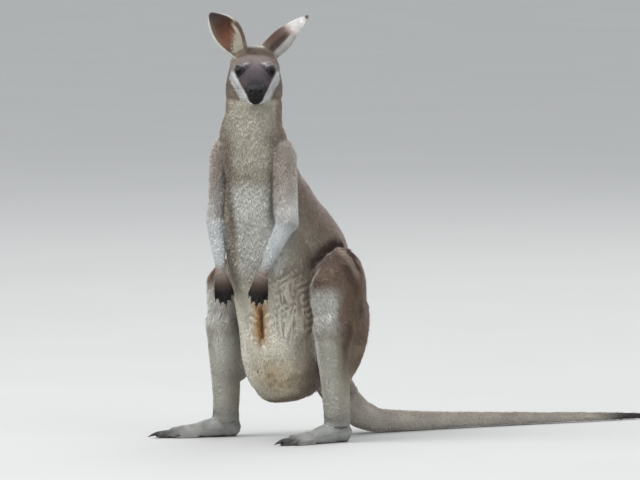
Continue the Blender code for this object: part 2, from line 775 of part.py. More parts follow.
def arm_parts(arm, trunk):
    """Upper arm, forearm and hand of one arm, and its claws."""
    along = (arm.wrist - arm.elbow).normalized()
    whole = fuse(f"arm_{arm.side}", arm_shapes(arm, low=False), BODY_VOXEL, ARM_TRIANGLES, rounds=10)
    take_away(whole, trunk)
    slice_flat(whole, arm.wrist - along * (GAP / 2), -along)
    elbow_way = (arm.wrist - arm.shoulder).normalized()
    seeds = {f"upper_arm_{arm.side}": (arm.shoulder + arm.elbow) / 2,
             f"forearm_{arm.side}": (arm.elbow + arm.wrist) / 2}
    parts = cut_apart(whole, [(arm.elbow + ELBOW_CUT, elbow_way, ELBOW_CUT_RADIUS)], seeds)
    hand = fuse(f"hand_{arm.side}", arm_shapes(arm, low=True), FINE_VOXEL, HAND_TRIANGLES, rounds=3)
    slice_flat(hand, arm.wrist + along * (GAP / 2), along)
    for _, socket in hand_claws(arm, GAP):
        carve(hand, socket)
    parts[hand.name] = hand
    for name, bm in hand_claws(arm):
        parts[name] = new_object(name, bm)
    return parts


def head_parts():
    """Head with its eye sockets, the eyes and the ears."""
    head = fuse("head", head_shapes(), FINE_VOXEL, HEAD_TRIANGLES, rounds=22)
    slice_flat(head, NECK_TOP + NECK_WAY.normalized() * (GAP / 2), NECK_WAY)
    parts = {"head": head}
    for side, label in ((1, "l"), (-1, "r")):
        carve(head, ball(eye_centre(side), EYE_RADIUS + GAP))
        parts[f"eye_{label}"] = new_object(f"eye_{label}", ball(eye_centre(side), EYE_RADIUS))
    cutter = new_object("head_grown", grown(head, GAP))
    for label, base, tip, facing, bow, slim in EARS:
        made = ear(f"ear_{label}", base, tip, facing, bow, slim)
        take_away(made, cutter)
        parts[made.name] = made
    remove(cutter)
    return parts


def build():
    """Makes every part and returns them by name."""
    parts, trunk = trunk_parts()
    for leg in LEGS:
        parts.update(leg_parts(leg, trunk))
    for arm in ARMS:
        parts.update(arm_parts(arm, trunk))
    remove(trunk)
    parts.update(head_parts())
    return parts


def paint(obj):
    """Gives obj a material of its own, in the colour of its region."""
    region = next(name for name in COLOURS if obj.name.startswith(name))
    red, green, blue, roughness = COLOURS[region]
    material = bpy.data.materials.new(obj.name)
    material.use_nodes = True
    shader = material.node_tree.nodes["Principled BSDF"]
    shader.inputs["Base Color"].default_value = (red, green, blue, 1.0)
    shader.inputs["Roughness"].default_value = roughness
    shader.inputs["Metallic"].default_value = 0.0
    obj.data.materials.clear()
    obj.data.materials.append(material)


def stand_on_origin(objects):
    """Moves the whole so that the origin is at the middle of its box's underside."""
    points = np.array([v.co[:] for obj in objects for v in obj.data.vertices])
    low, high = points.min(0), points.max(0)
    middle = Vector(((low[0] + high[0]) / 2, (low[1] + high[1]) / 2, low[2]))
    for obj in objects:
        obj.location = -middle


def main():
    """Clears the scene and builds the wallaby."""
    for old in list(bpy.data.objects):
        bpy.data.objects.remove(old, do_unlink=True)
    parts = build()
    for obj in parts.values():
        paint(obj)
        obj.data.shade_smooth()
        obj.data.set_sharp_from_angle(angle=math.radians(50))
    stand_on_origin(list(parts.values()))


main()
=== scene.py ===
"""Looks of a life-size whiptail wallaby, an adult female with a full pouch.

One skin stands for every fleshy node of the frame. It lies inside them by the depth of the coat and
carries the markings, with painted shade and highlights, as attributes. A coat of closed mesh tufts is
set on it by Geometry Nodes. Eyes, claws and whiskers are pieces of their own, and a pale studio
surrounds them.
"""

import logging
import math
from dataclasses import dataclass
from enum import Enum
from typing import Any, Iterable, Sequence

import bmesh
import bpy
import numpy as np
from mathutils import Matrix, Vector
from mathutils.bvhtree import BVHTree


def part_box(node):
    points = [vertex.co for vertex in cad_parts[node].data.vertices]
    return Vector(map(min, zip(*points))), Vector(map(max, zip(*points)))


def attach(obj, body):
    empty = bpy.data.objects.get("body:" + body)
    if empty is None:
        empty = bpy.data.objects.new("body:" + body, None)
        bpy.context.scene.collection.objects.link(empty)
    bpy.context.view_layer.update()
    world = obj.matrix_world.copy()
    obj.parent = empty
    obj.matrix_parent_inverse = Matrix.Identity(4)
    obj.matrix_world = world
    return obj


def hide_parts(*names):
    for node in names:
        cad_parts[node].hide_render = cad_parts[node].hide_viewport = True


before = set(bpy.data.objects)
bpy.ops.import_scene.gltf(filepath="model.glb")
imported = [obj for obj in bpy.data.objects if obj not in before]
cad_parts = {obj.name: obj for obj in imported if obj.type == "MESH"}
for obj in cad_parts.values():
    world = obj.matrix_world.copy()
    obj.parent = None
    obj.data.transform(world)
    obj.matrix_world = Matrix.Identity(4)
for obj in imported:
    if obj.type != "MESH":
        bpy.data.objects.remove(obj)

LOG = logging.getLogger("wallaby")
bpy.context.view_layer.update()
Array = np.ndarray
MM = 0.001


# ---- Small tools ----------------------------------------------------------------------


def linear(code: str) -> tuple[float, float, float, float]:
    """Turns an sRGB hex code into a linear colour.

    Args:
        code: Six hex digits after a hash.

    Returns:
        Red, green, blue and alpha, the colours linear.
    """
    values = [int(code[i : i + 2], 16) / 255 for i in (1, 3, 5)]
    red, green, blue = (v / 12.92 if v <= 0.04045 else ((v + 0.055) / 1.055) ** 2.4 for v in values)
    return red, green, blue, 1.0


def shade(code: str) -> Array:
    """The linear colour of a hex code as an array of three."""
    return np.array(linear(code)[:3])


def ramp(low: float, high: float, value: Array) -> Array:
    """A smooth step from 0 at low to 1 at high; low may be the larger."""
    t = np.clip((value - low) / (high - low), 0.0, 1.0)
    return t * t * (3 - 2 * t)


def bump(value: Array, centre: float | Array, half: float) -> Array:
    """A bell of height 1 round centre that has fallen to a third at half."""
    return np.exp(-(((value - centre) / half) ** 2))


def unit(vectors: Array) -> Array:
    """Rows of vectors brought to length one."""
    return vectors / np.maximum(np.linalg.norm(vectors, axis=-1, keepdims=True), 1e-9)


def blend_in(tint: Array, mask: Array, colour: str | Array) -> Array:
    """Mixes a colour into rows of colours.

    Args:
        tint: The rows of colours.
        mask: How much of the new colour each row takes, from 0 to 1.
        colour: A hex code, or a row of its own for each.

    Returns:
        The mixed rows.
    """
    mask = np.clip(mask, 0.0, 1.0)[:, None]
    return tint * (1 - mask) + (shade(colour) if isinstance(colour, str) else colour) * mask


def graded(value: Array, stops: Sequence[tuple[float, str]]) -> Array:
    """Rows of colours for values, blended between stops of a value and a hex code.

    Args:
        value: One number for each row.
        stops: Pairs of a value and a hex code.

    Returns:
        Rows of colours.
    """
    places = [place for place, _ in stops]
    colours = np.array([shade(code) for _, code in stops])
    return np.stack([np.interp(value, places, colours[:, k]) for k in range(3)], 1)


def wave(points: Array, seed: int, size: float) -> Array:
    """A smooth random field of about -1 to 1, from a few plane waves.

    Args:
        points: Rows of places.
        seed: Sets the directions and phases.
        size: Rough length of one wave, in metres.

    Returns:
        One value for each place.
    """
    chance = np.random.default_rng(seed)
    total = np.zeros(len(points))
    for _ in range(7):
        way = unit(chance.normal(size=3)) * (2 * math.pi / (size * chance.uniform(0.7, 1.6)))
        total += np.sin(points @ way + chance.uniform(0, 2 * math.pi))
    return total / 3.2


def fill(tree: bpy.types.NodeTree, node: bpy.types.Node, inputs: dict[Any, Any]) -> None:
    """Links or sets a node's inputs.

    Args:
        tree: The tree that holds the node.
        node: The node.
        inputs: For each input, by name or number, an output socket to link or a value to set.
    """
    for key, value in inputs.items():
        if isinstance(value, bpy.types.NodeSocket):
            tree.links.new(value, node.inputs[key])
        else:
            node.inputs[key].default_value = value


def add_node(tree: bpy.types.NodeTree, kind: str, inputs: dict[Any, Any] | None = None,
             **settings: Any) -> bpy.types.Node:
    """Adds one node, sets it up and links or fills its inputs.

    Args:
        tree: The tree that gets the node.
        kind: The node's type name.
        inputs: What fill takes.
        settings: Properties of the node.

    Returns:
        The node.
    """
    node = tree.nodes.new(kind)
    for name, value in settings.items():
        setattr(node, name, value)
    fill(tree, node, inputs or {})
    return node


def new_piece(name: str, mesh: bpy.types.Mesh) -> bpy.types.Object:
    """Links a new object that sits at the origin and holds mesh.

    Args:
        name: The object's name.
        mesh: Its mesh.

    Returns:
        The object.
    """
    piece = bpy.data.objects.new(name, mesh)
    bpy.context.scene.collection.objects.link(piece)
    return piece


def mesh_of(bm: bmesh.types.BMesh, name: str) -> bpy.types.Mesh:
    """Writes mesh code's work to a new mesh and frees the work.

    Args:
        bm: The work.
        name: The mesh's name.

    Returns:
        The mesh.
    """
    mesh = bpy.data.meshes.new(name)
    bm.to_mesh(mesh)
    bm.free()
    return mesh


def smooth_piece(bm: bmesh.types.BMesh, name: str) -> bpy.types.Object:
    """Makes a smooth piece of mesh code's work, with every face turned outwards."""
    bmesh.ops.recalc_face_normals(bm, faces=bm.faces)
    mesh = mesh_of(bm, name)
    mesh.shade_smooth()
    return new_piece(name, mesh)


def face_out(mesh: bpy.types.Mesh) -> None:
    """Turns every face of a closed mesh outwards.

    Args:
        mesh: The mesh that is changed.
    """
    bm = bmesh.new()
    bm.from_mesh(mesh)
    bmesh.ops.recalc_face_normals(bm, faces=bm.faces)
    bm.to_mesh(mesh)
    bm.free()


def new_material(name: str) -> tuple[bpy.types.Material, bpy.types.NodeTree, bpy.types.Node]:
    """Makes a node material and finds its tree and its shader.

    Args:
        name: The name of the real material.

    Returns:
        The material, its tree and its shader.
    """
    made = bpy.data.materials.new(name)
    made.use_nodes = True
    return made, made.node_tree, made.node_tree.nodes["Principled BSDF"]


def settle(piece: bpy.types.Object) -> None:
    """Replaces a piece's mesh by what its modifiers make, and clears them.

    Args:
        piece: The object.
    """
    bpy.context.view_layer.update()
    graph = bpy.context.evaluated_depsgraph_get()
    made = bpy.data.meshes.new_from_object(piece.evaluated_get(graph))
    piece.modifiers.clear()
    piece.data = made


def rows_of(data: bpy.types.bpy_prop_collection, key: str, width: int = 1,
            kind: type = float) -> Array:
    """One property of every item of a collection.

    Args:
        data: The collection.
        key: The property.
        width: How many numbers it holds.
        kind: What they are.

    Returns:
        A row for each item, or a plain array where the width is 1.
    """
    flat = np.empty(len(data) * width, kind)
    data.foreach_get(key, flat)
    return flat if width == 1 else flat.reshape(-1, width)


def mesh_points(mesh: bpy.types.Mesh) -> Array:
    """The vertices of a mesh as rows."""
    return rows_of(mesh.vertices, "co", 3)


def set_points(mesh: bpy.types.Mesh, points: Array) -> None:
    """Writes rows of places to a mesh's vertices."""
    mesh.vertices.foreach_set("co", points.astype(np.float32).ravel())
    mesh.update()


def mesh_normals(mesh: bpy.types.Mesh) -> Array:
    """The vertex normals of a mesh as rows."""
    return rows_of(mesh.vertex_normals, "vector", 3)


def store(mesh: bpy.types.Mesh, name: str, kind: str, values: Array) -> None:
    """Stores one value, vector or colour for each vertex as a named attribute.

    Args:
        mesh: The mesh that gets it.
        name: The attribute's name.
        kind: FLOAT, FLOAT_VECTOR or FLOAT_COLOR.
        values: A row for each vertex.
    """
    layer = mesh.attributes.new(name, kind, "POINT")
    key = {"FLOAT": "value", "FLOAT_VECTOR": "vector", "FLOAT_COLOR": "color"}[kind]
    layer.data.foreach_set(key, np.ascontiguousarray(values, dtype=np.float32).ravel())


@dataclass
class Net:
    """The edges of a mesh, to spread values from vertex to vertex.

    Attributes:
        count: The number of vertices.
        edges: Rows of two vertex numbers.
    """

    count: int
    edges: Array

    @classmethod
    def of(cls, mesh: bpy.types.Mesh) -> "Net":
        """The net of a mesh."""
        return cls(len(mesh.vertices), rows_of(mesh.edges, "vertices", 2, np.int32))

    def spread(self, values: Array, rounds: int, weight: Array | float = 1.0,
               push: float = 0.0) -> Array:
        """Averages values with their neighbours.

        Args:
            values: One row for each vertex.
            rounds: How many times.
            weight: How far each vertex may move in a round, from 0 to 1.
            push: A negative factor of a second pass that keeps a shape's volume, or 0 for none.

        Returns:
            The new rows.
        """
        first, second = self.edges.T
        degree = np.bincount(self.edges.ravel(), minlength=self.count).clip(1)
        rows = values.reshape(self.count, -1).astype(float)
        share = np.broadcast_to(np.asarray(weight, float), (self.count,))[:, None] * 0.5
        factors = (1.0, push * 2) if push else (1.0,)
        for _ in range(rounds):
            for factor in factors:
                total = np.empty_like(rows)
                for k in range(rows.shape[1]):
                    column = rows[:, k]
                    total[:, k] = np.bincount(first, column[second], self.count)
                    total[:, k] += np.bincount(second, column[first], self.count)
                rows = rows + (total / degree[:, None] - rows) * share * factor
        return rows.reshape(values.shape)


# ---- Where things are -----------------------------------------------------------------


def middle(node: str) -> Array:
    """The middle of a frame node's box."""
    low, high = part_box(node)
    return np.array((low + high) / 2)


@dataclass
class Head:
    """The head's own axes, with their origin just under the point midway between the eyes.

    Attributes:
        pitch: How far the muzzle dips below level, in degrees.
        rise: How far the eyes' middles lie above the origin, in millimetres.
    """

    pitch: float = 25.0
    rise: float = 2.5

    def __post_init__(self) -> None:
        """Works out the axes from the two eyes."""
        left, right = middle("eye_l"), middle("eye_r")
        self.eyes = {1: left, -1: right}
        self.left = unit(left - right)
        level = unit(np.cross(self.left, (0.0, 0.0, 1.0)))
        dip = math.radians(self.pitch)
        self.ahead = level * math.cos(dip) - np.array((0.0, 0.0, math.sin(dip)))
        self.up = np.cross(self.ahead, self.left) * -1
        self.up *= math.copysign(1.0, self.up[2])
        self.origin = (left + right) / 2 - self.up * self.rise * MM

    def place(self, ahead: float, left: float, up: float) -> Array:
        """A point given in millimetres ahead, left and up."""
        return self.origin + (self.ahead * ahead + self.left * left + self.up * up) * MM

    def measure(self, points: Array) -> tuple[Array, Array, Array]:
        """Millimetres ahead, left and up of each point."""
        away = (points - self.origin) / MM
        return away @ self.ahead, away @ self.left, away @ self.up

    def slant(self, points: Array) -> Array:
        """Millimetres above the eyes, square to a line that looks down on the muzzle by 29 degrees."""
        ahead, _, up = self.measure(points)
        return up * 0.877 - ahead * 0.481


@dataclass
class Ear:
    """One ear's axis from base to tip, the way its hollow faces, and its leaf shape.

    Attributes:
        side: 1 for the left ear and -1 for the right.
        base: Where the ear leaves the head, in the head's millimetres.
        tip: The ear's tip, in the head's millimetres.
        facing: The way the hollow faces, along the frame's axes.
        bow: How far its middle bows inward, in millimetres.
        slim: How much slimmer it gets towards its tip, as a share.
        root: How deep it starts in the head, in millimetres.
    """

    side: int
    base: tuple[float, float, float]
    tip: tuple[float, float, float]
    facing: tuple[float, float, float]
    bow: float
    slim: float
    root: float = 14.0

    def half_turn(self, share: Array) -> Array:
        """Half the angle that the leaf wraps round its hollow at each share of its length."""
        return np.radians(45 + 92 * (1 - share) ** 1.5)

    def axes(self, head: Head) -> tuple[Array, Array, Array]:
        """The ear's axis, its hollow's way and the way to its inner edge.

        Args:
            head: The head's axes.

        Returns:
            Three unit vectors.
        """
        axis = unit(head.place(*self.tip) - head.place(*self.base))
        facing = np.array(self.facing)
        hollow = unit(facing - axis * (facing @ axis))
        return axis, hollow, np.cross(axis, hollow)

    def measure(self, head: Head, points: Array) -> tuple[Array, Array]:
        """Shares of the way along the ear, and from outer edge (-1) to inner edge (1).

        Args:
            head: The head's axes.
            points: Rows of places.

        Returns:
            The two shares for each point.
        """
        axis, hollow, side = self.axes(head)
        base = head.place(*self.base)
        length = float(np.linalg.norm(head.place(*self.tip) - base)) / MM + self.root
        away = (points - base) / MM
        share = np.clip((away @ axis + self.root) / length, 0, 1)
        leaf = np.sin(math.pi * np.clip(0.20 + 0.80 * share, 0, 1) ** 0.95) ** 0.8
        half_arc = 3.0 + 38.5 * leaf * (1 - self.slim * share**2)
        half_turn = self.half_turn(share)
        radius = half_arc / half_turn
        aside = away @ side - self.bow * np.sin(math.pi * share)
        turn = np.arctan2(aside, radius - away @ hollow)
        return share, turn / half_turn


@dataclass
class Torso:
    """The trunk's middle line and the way its front faces at each height.

    Attributes:
        turn: Pairs of height in metres and the front's turn towards the animal's left in degrees.
    """

    turn: tuple[tuple[float, float], ...] = ((0.10, 12), (0.27, 14), (0.35, 20), (0.44, 27),
                                             (0.52, 30), (0.60, 34), (0.66, 42))

    def measured_from(self, points: Array) -> "Torso":
        """Finds the middle of each slice of the trunk's and neck's points.

        Args:
            points: Rows of places on the trunk and neck.

        Returns:
            The torso itself.
        """
        low, high = points[:, 2].min() + 0.01, points[:, 2].max() - 0.01
        self.heights = np.arange(low, high, 0.012)
        slices = [points[np.abs(points[:, 2] - z) < 0.012] for z in self.heights]
        self.middles = np.array([(s.min(0) + s.max(0))[:2] / 2 for s in slices])
        return self

    def measure(self, points: Array) -> Array:
        """Metres to the animal's left of the middle line.

        Args:
            points: Rows of places.

        Returns:
            One distance for each point.
        """
        z = points[:, 2]
        x, y = (np.interp(z, self.heights, self.middles[:, k]) for k in (0, 1))
        heights, turns = np.array(self.turn).T
        angle = np.radians(np.interp(z, heights, turns))
        return (points[:, 0] - x) * np.cos(angle) + (points[:, 1] - y) * np.sin(angle)

    def facing(self, points: Array, normals: Array) -> Array:
        """How far each point's surface faces the front, from -1 to 1.

        Args:
            points: Rows of places.
            normals: Rows of unit vectors.

        Returns:
            One number for each point.
        """
        heights, turns = np.array(self.turn).T
        angle = np.radians(np.interp(points[:, 2], heights, turns))
        return normals[:, 0] * np.sin(angle) - normals[:, 1] * np.cos(angle)


# ---- Regions and the cut of the coat --------------------------------------------------


class Region(Enum):
    """The body's regions, by the first word of their nodes' names."""

    HEAD = "head"
    NECK = "neck"
    TRUNK = "trunk"
    TAIL = "tail"
    EAR = "ear"
    UPPER_ARM = "upper_arm"
    FOREARM = "forearm"
    HAND = "hand"
    THIGH = "thigh"
    SHIN = "shin"
    FOOT = "foot"


@dataclass(frozen=True)
class Cut:
    """How the hair grows in one region.

    Attributes:
        length: Length of a tuft in millimetres.
        width: Width of a tuft in millimetres.
        lift: How far it stands off the skin, in degrees.
        spacing: From tuft to tuft in millimetres.
        depth: How far the skin lies under the coat's tips in millimetres.
        ruffle: How unevenly the tufts lie, from 0 to 1.
    """

    length: float
    width: float
    lift: float
    spacing: float
    depth: float
    ruffle: float


CUTS = {
    Region.HEAD: Cut(5.6, 0.90, 13, 1.02, 1.6, 0.13),
    Region.NECK: Cut(10.5, 1.20, 10, 1.38, 3.2, 0.09),
    Region.TRUNK: Cut(12.0, 1.40, 9.5, 1.60, 3.5, 0.09),
    Region.TAIL: Cut(9.0, 1.25, 12, 1.45, 2.6, 0.14),
    Region.EAR: Cut(4.2, 0.80, 8, 1.12, 0.7, 0.13),
    Region.UPPER_ARM: Cut(10.0, 1.30, 15, 1.38, 3.0, 0.17),
    Region.FOREARM: Cut(8.0, 1.10, 12, 1.20, 2.2, 0.15),
    Region.HAND: Cut(5.2, 0.90, 14, 1.00, 1.2, 0.18),
    Region.THIGH: Cut(12.0, 1.45, 13, 1.60, 3.4, 0.16),
    Region.SHIN: Cut(8.5, 1.20, 12, 1.36, 2.3, 0.14),
    Region.FOOT: Cut(5.2, 0.95, 10, 1.10, 1.2, 0.14),
}
REGIONS = tuple(CUTS)


def region_of(node: str) -> Region | None:
    """The region that a frame node belongs to, or None for an eye or a claw."""
    return next((r for r in REGIONS if node.startswith(r.value)), None)


# ---- The skin -------------------------------------------------------------------------


# Parts of the body with fine folds or marks: a node, shares of the way across its box, a reach.
FOLDED = (
    ("trunk", (0.84, 0.20, 0.36), 0.078),
    ("trunk", (0.68, 0.15, 0.12), 0.052),
    ("thigh_l", (0.58, 0.45, 0.90), 0.062),
    ("thigh_r", (0.42, 0.45, 0.90), 0.062),
    ("thigh_l", (0.94, 0.45, 0.20), 0.045),
    ("thigh_r", (0.06, 0.45, 0.20), 0.045),
)


@dataclass
class WallabySkin:
    """One skin in place of every fleshy node.

    Attributes:
        head: The head's axes.
        ears: The two ears.
        join: How far the nodes swell to meet over their thin cuts, in metres.
        grain: Size of the cells that fuse them, in metres.
        faces: About how many triangles stay after thinning.
    """

    head: Head
    ears: tuple[Ear, ...]
    join: float = 0.0004
    grain: float = 0.0016
    faces: int = 146_000

    def build(self) -> bpy.types.Object:
        """Makes the skin with its shape and its attributes.

        Returns:
            The finished piece, with no material yet.
        """
        self.flesh = {name: region_of(name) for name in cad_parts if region_of(name)}
        self.piece = new_piece("wallaby_skin", self.joined())
        self.fuse()
        self.thin()
        self.refine()
        self.read()
        self.soften()
        self.sink()
        Face(self).sculpt()
        Body(self).sculpt()
        self.refresh()
        self.piece.data.shade_smooth()
        return self.piece

    def joined(self) -> bpy.types.Mesh:
        """All flesh nodes and the eyeballs in one mesh, each swollen by join.

        Returns:
            The mesh.
        """
        whole = bmesh.new()
        for name, node in sorted(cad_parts.items()):
            if name.startswith("claw"):
                continue
            bm = bmesh.new()
            bm.from_mesh(node.data)
            bmesh.ops.remove_doubles(bm, verts=bm.verts, dist=1e-6)
            bm.normal_update()
            for vert in bm.verts:
                vert.co += vert.normal * self.join
            copy = mesh_of(bm, "copy")
            whole.from_mesh(copy)
            bpy.data.meshes.remove(copy)
        return mesh_of(whole, "wallaby_skin")

    def fuse(self) -> None:
        """Fuses the swollen nodes and keeps the largest shell."""
        remesh = self.piece.modifiers.new("Fuse", "REMESH")
        remesh.mode = "VOXEL"
        remesh.voxel_size = self.grain
        settle(self.piece)
        mesh = self.piece.data
        first, second = Net.of(mesh).edges.T
        label = np.arange(len(mesh.vertices))
        while True:
            lower = label.copy()
            np.minimum.at(lower, first, label[second])
            np.minimum.at(lower, second, label[first])
            lower = lower[lower]
            if (lower == label).all():
                break
            label = lower
        main = np.bincount(label).argmax()
        if (label != main).any():
            bm = bmesh.new()
            bm.from_mesh(mesh)
            bm.verts.ensure_lookup_table()
            stray = [bm.verts[i] for i in np.nonzero(label != main)[0]]
            bmesh.ops.delete(bm, geom=stray, context="VERTS")
            bm.to_mesh(mesh)
            bm.free()

    def thin(self) -> None:
        """Collapses the plain parts of the body and leaves head, ears, hands and feet fine."""
        mesh = self.piece.data
        points = mesh_points(mesh)
        plain = np.ones(len(points))
        for name, region in self.flesh.items():
            if region in (Region.HEAD, Region.EAR, Region.HAND, Region.FOOT):
                low, high = (np.array(c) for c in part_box(name))
                if region is Region.FOOT:
                    high[1] = low[1] + 0.4 * (high[1] - low[1])
                inside = ((points > low - 0.004) & (points < high + 0.004)).all(1)
                plain[inside] = 0.0
        group = self.piece.vertex_groups.new(name="plain")
        for level in (0.0, 1.0):
            group.add(np.nonzero(plain == level)[0].tolist(), level, "REPLACE")
        collapse = self.piece.modifiers.new("Thin", "DECIMATE")
        collapse.ratio = min(1.0, self.faces / (2 * len(mesh.polygons)))
        collapse.vertex_group = group.name
        settle(self.piece)
        self.piece.vertex_groups.clear()

    def refine(self) -> None:
        """Halves the edges round the eyes, on the muzzle, on the flank's folds and over the hips."""
        bm = bmesh.new()
        bm.from_mesh(self.piece.data)
        points = np.array([v.co[:] for v in bm.verts])
        near = np.linalg.norm(points - self.head.place(58, 0, -16), axis=1) < 0.030
        for side in (1, -1):
            near |= np.linalg.norm(points - self.head.eyes[side], axis=1) < 0.018
        for node, shares, reach in FOLDED:
            low, high = (np.array(c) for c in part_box(node))
            near |= np.linalg.norm(points - low - (high - low) * shares, axis=1) < reach
        edges = [e for e in bm.edges if near[e.verts[0].index] and near[e.verts[1].index]]
        bmesh.ops.subdivide_edges(bm, edges=edges, cuts=1, use_grid_fill=True)
        bmesh.ops.triangulate(bm, faces=[f for f in bm.faces if len(f.verts) > 4])
        bm.to_mesh(self.piece.data)
        bm.free()

    def refresh(self) -> None:
        """Writes the points to the mesh and reads its normals again."""
        set_points(self.piece.data, self.points)
        self.normals = mesh_normals(self.piece.data)

    def read(self) -> None:
        """Reads the mesh into arrays and finds the region under each vertex."""
        mesh = self.piece.data
        self.points = mesh_points(mesh)
        self.normals = mesh_normals(mesh)
        self.net = Net.of(mesh)
        verts: list[Vector] = []
        faces: list[tuple[int, ...]] = []
        owners: list[str] = []
        for name in sorted(self.flesh):
            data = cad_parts[name].data
            start = len(verts)
            verts += [v.co for v in data.vertices]
            faces += [tuple(start + i for i in p.vertices) for p in data.polygons]
            owners += [name] * len(data.polygons)
        tree = BVHTree.FromPolygons(verts, faces)
        nearest = [tree.find_nearest(Vector(p))[2] for p in self.points]
        names = sorted(self.flesh)
        order = {name: i for i, name in enumerate(names)}
        self.owner = np.array([order[owners[i]] for i in nearest])
        self.names = names
        self.share = {}
        for region in REGIONS:
            mine = [i for i, name in enumerate(names) if self.flesh[name] is region]
            self.share[region] = np.isin(self.owner, mine).astype(float)
        spread = self.net.spread(np.stack([self.share[r] for r in REGIONS], 1), 10)
        self.soft = {region: spread[:, i] for i, region in enumerate(REGIONS)}
        self.wide_arm = self.net.spread(self.share[Region.UPPER_ARM] + self.share[Region.FOREARM], 24)

    @property
    def facing(self) -> Array:
        """How far each vertex faces the trunk's front, from -1 to 1."""
        return self.torso.facing(self.points, self.normals)

    @property
    def across(self) -> Array:
        """Metres to the animal's left of the trunk's middle line."""
        return self.torso.measure(self.points)

    def of_node(self, *names: str) -> Array:
        """1 where a vertex lies on one of the named nodes, else 0."""
        return np.isin(self.owner, [self.names.index(n) for n in names]).astype(float)

    def cut(self, field: str) -> Array:
        """One field of the coat's cut, blended over the regions' borders."""
        return sum(self.soft[r] * getattr(CUTS[r], field) for r in REGIONS)

    def soften(self) -> None:
        """Rounds off the facets, least where the shape is fine."""
        ankle = ramp(0.030, 0.042, self.points[:, 2]) * self.share[Region.FOOT]
        fine = self.share[Region.HAND] + self.share[Region.FOOT] - ankle
        mid = self.share[Region.EAR] + self.share[Region.HEAD]
        self.points = self.net.spread(self.points, 14, 1 - fine - mid, push=-0.51)
        self.points = self.net.spread(self.points, 16, mid, push=-0.51)
        self.points = self.net.spread(self.points, 3, fine, push=-0.51)
        low = ramp(0.085, 0.065, self.points[:, 2]) * ramp(0.024, 0.034, self.points[:, 2])
        low *= self.share[Region.FOOT] + self.share[Region.SHIN]
        self.points = self.net.spread(self.points, 30, low, push=-0.51)
        self.refresh()

    def sink(self) -> None:
        """Lets the skin lie under the coat's tips by the coat's depth."""
        smooth = self.net.spread(self.normals, 3)
        self.points -= unit(smooth) * (self.cut("depth") * MM)[:, None]
        self.refresh()
        fingers = self.share[Region.HAND] + self.share[Region.EAR]
        self.points = self.net.spread(self.points, 2, 0.5 + 0.5 * (1 - fingers), push=-0.51)
        self.refresh()
        trunk = (self.share[Region.TRUNK] + self.share[Region.NECK]) > 0.5
        self.torso = Torso().measured_from(self.points[trunk])


@dataclass(frozen=True)
class EyeSize:
    """The eyes' measures in millimetres.

    Attributes:
        ball: Radius of the eyeball.
        cornea: How far the cornea stands out from it.
        lid: Thickness of the lids.
        half_long: Half the length of the lids' opening.
        above: Height of the opening over its middle.
        below: Depth of the opening under its middle.
        full_above: The power that rounds its upper edge; more is fuller.
        full_below: The power that rounds its lower edge.
        roll: How far the opening is rolled about the gaze, in degrees.
    """

    ball: float = 10.6
    cornea: float = 0.7
    lid: float = 1.0
    half_long: float = 9.9
    above: float = 7.6
    below: float = 7.8
    full_above: float = 2.3
    full_below: float = 1.5
    roll: float = 22.0


EYE = EyeSize()


def eye_axes(head: Head, side: int) -> tuple[Array, Array, Array]:
    """One eye's gaze, its way to the inner corner and its upward way.

    Args:
        head: The head's axes.
        side: 1 for the left eye and -1 for the right.

    Returns:
        Three unit vectors.
    """
    gaze = unit(head.left * side * 0.76 + head.ahead * 0.62 + head.up * 0.20)
    up = unit(head.up - gaze * (head.up @ gaze))
    inner = np.cross(up, gaze)
    inner *= math.copysign(1.0, inner @ head.ahead)
    roll = math.radians(EYE.roll)
    return gaze, inner * math.cos(roll) + up * math.sin(roll), up * math.cos(roll) - inner * math.sin(roll)


def lid_edge(toward: Array, over: Array) -> Array:
    """How far the lids' edge is from the gaze, in millimetres, along a unit direction.

    Args:
        toward: The direction's share towards the inner corner.
        over: Its share upwards.

    Returns:
        The radius of the opening, which has a flatter top and pointed corners.
    """
    high = np.where(over > 0, EYE.above, EYE.below)
    power = np.where(over > 0, EYE.full_above, EYE.full_below)
    total = np.abs(toward / EYE.half_long) ** power + np.abs(over / high) ** power
    return total ** (-1 / power)


def eye_ring(head: Head, side: int, points: Array) -> tuple[Array, Array, Array]:
    """Where points lie round one eye.

    Args:
        head: The head's axes.
        side: 1 for the left eye and -1 for the right.
        points: Rows of places.

    Returns:
        How far each is from the gaze against the lids' edge (1 on it), its height over the eye's
        middle and its way towards the inner corner, both in millimetres.
    """
    gaze, inner, up = eye_axes(head, side)
    away = (points - head.eyes[side]) / MM
    x, y, z = away @ inner, away @ up, away @ gaze
    flat = np.maximum(np.hypot(x, y), 1e-6)
    edge = lid_edge(x / flat, y / flat)
    ring = np.arctan2(flat, z) / np.arcsin(edge / EYE.ball)
    return ring, y, x


def mouth_line(ahead: Array) -> Array:
    """How high the mouth's line is, in the head's millimetres, at each distance ahead."""
    return np.interp(ahead, (18, 40, 56, 66), (-33, -30, -27, -24))


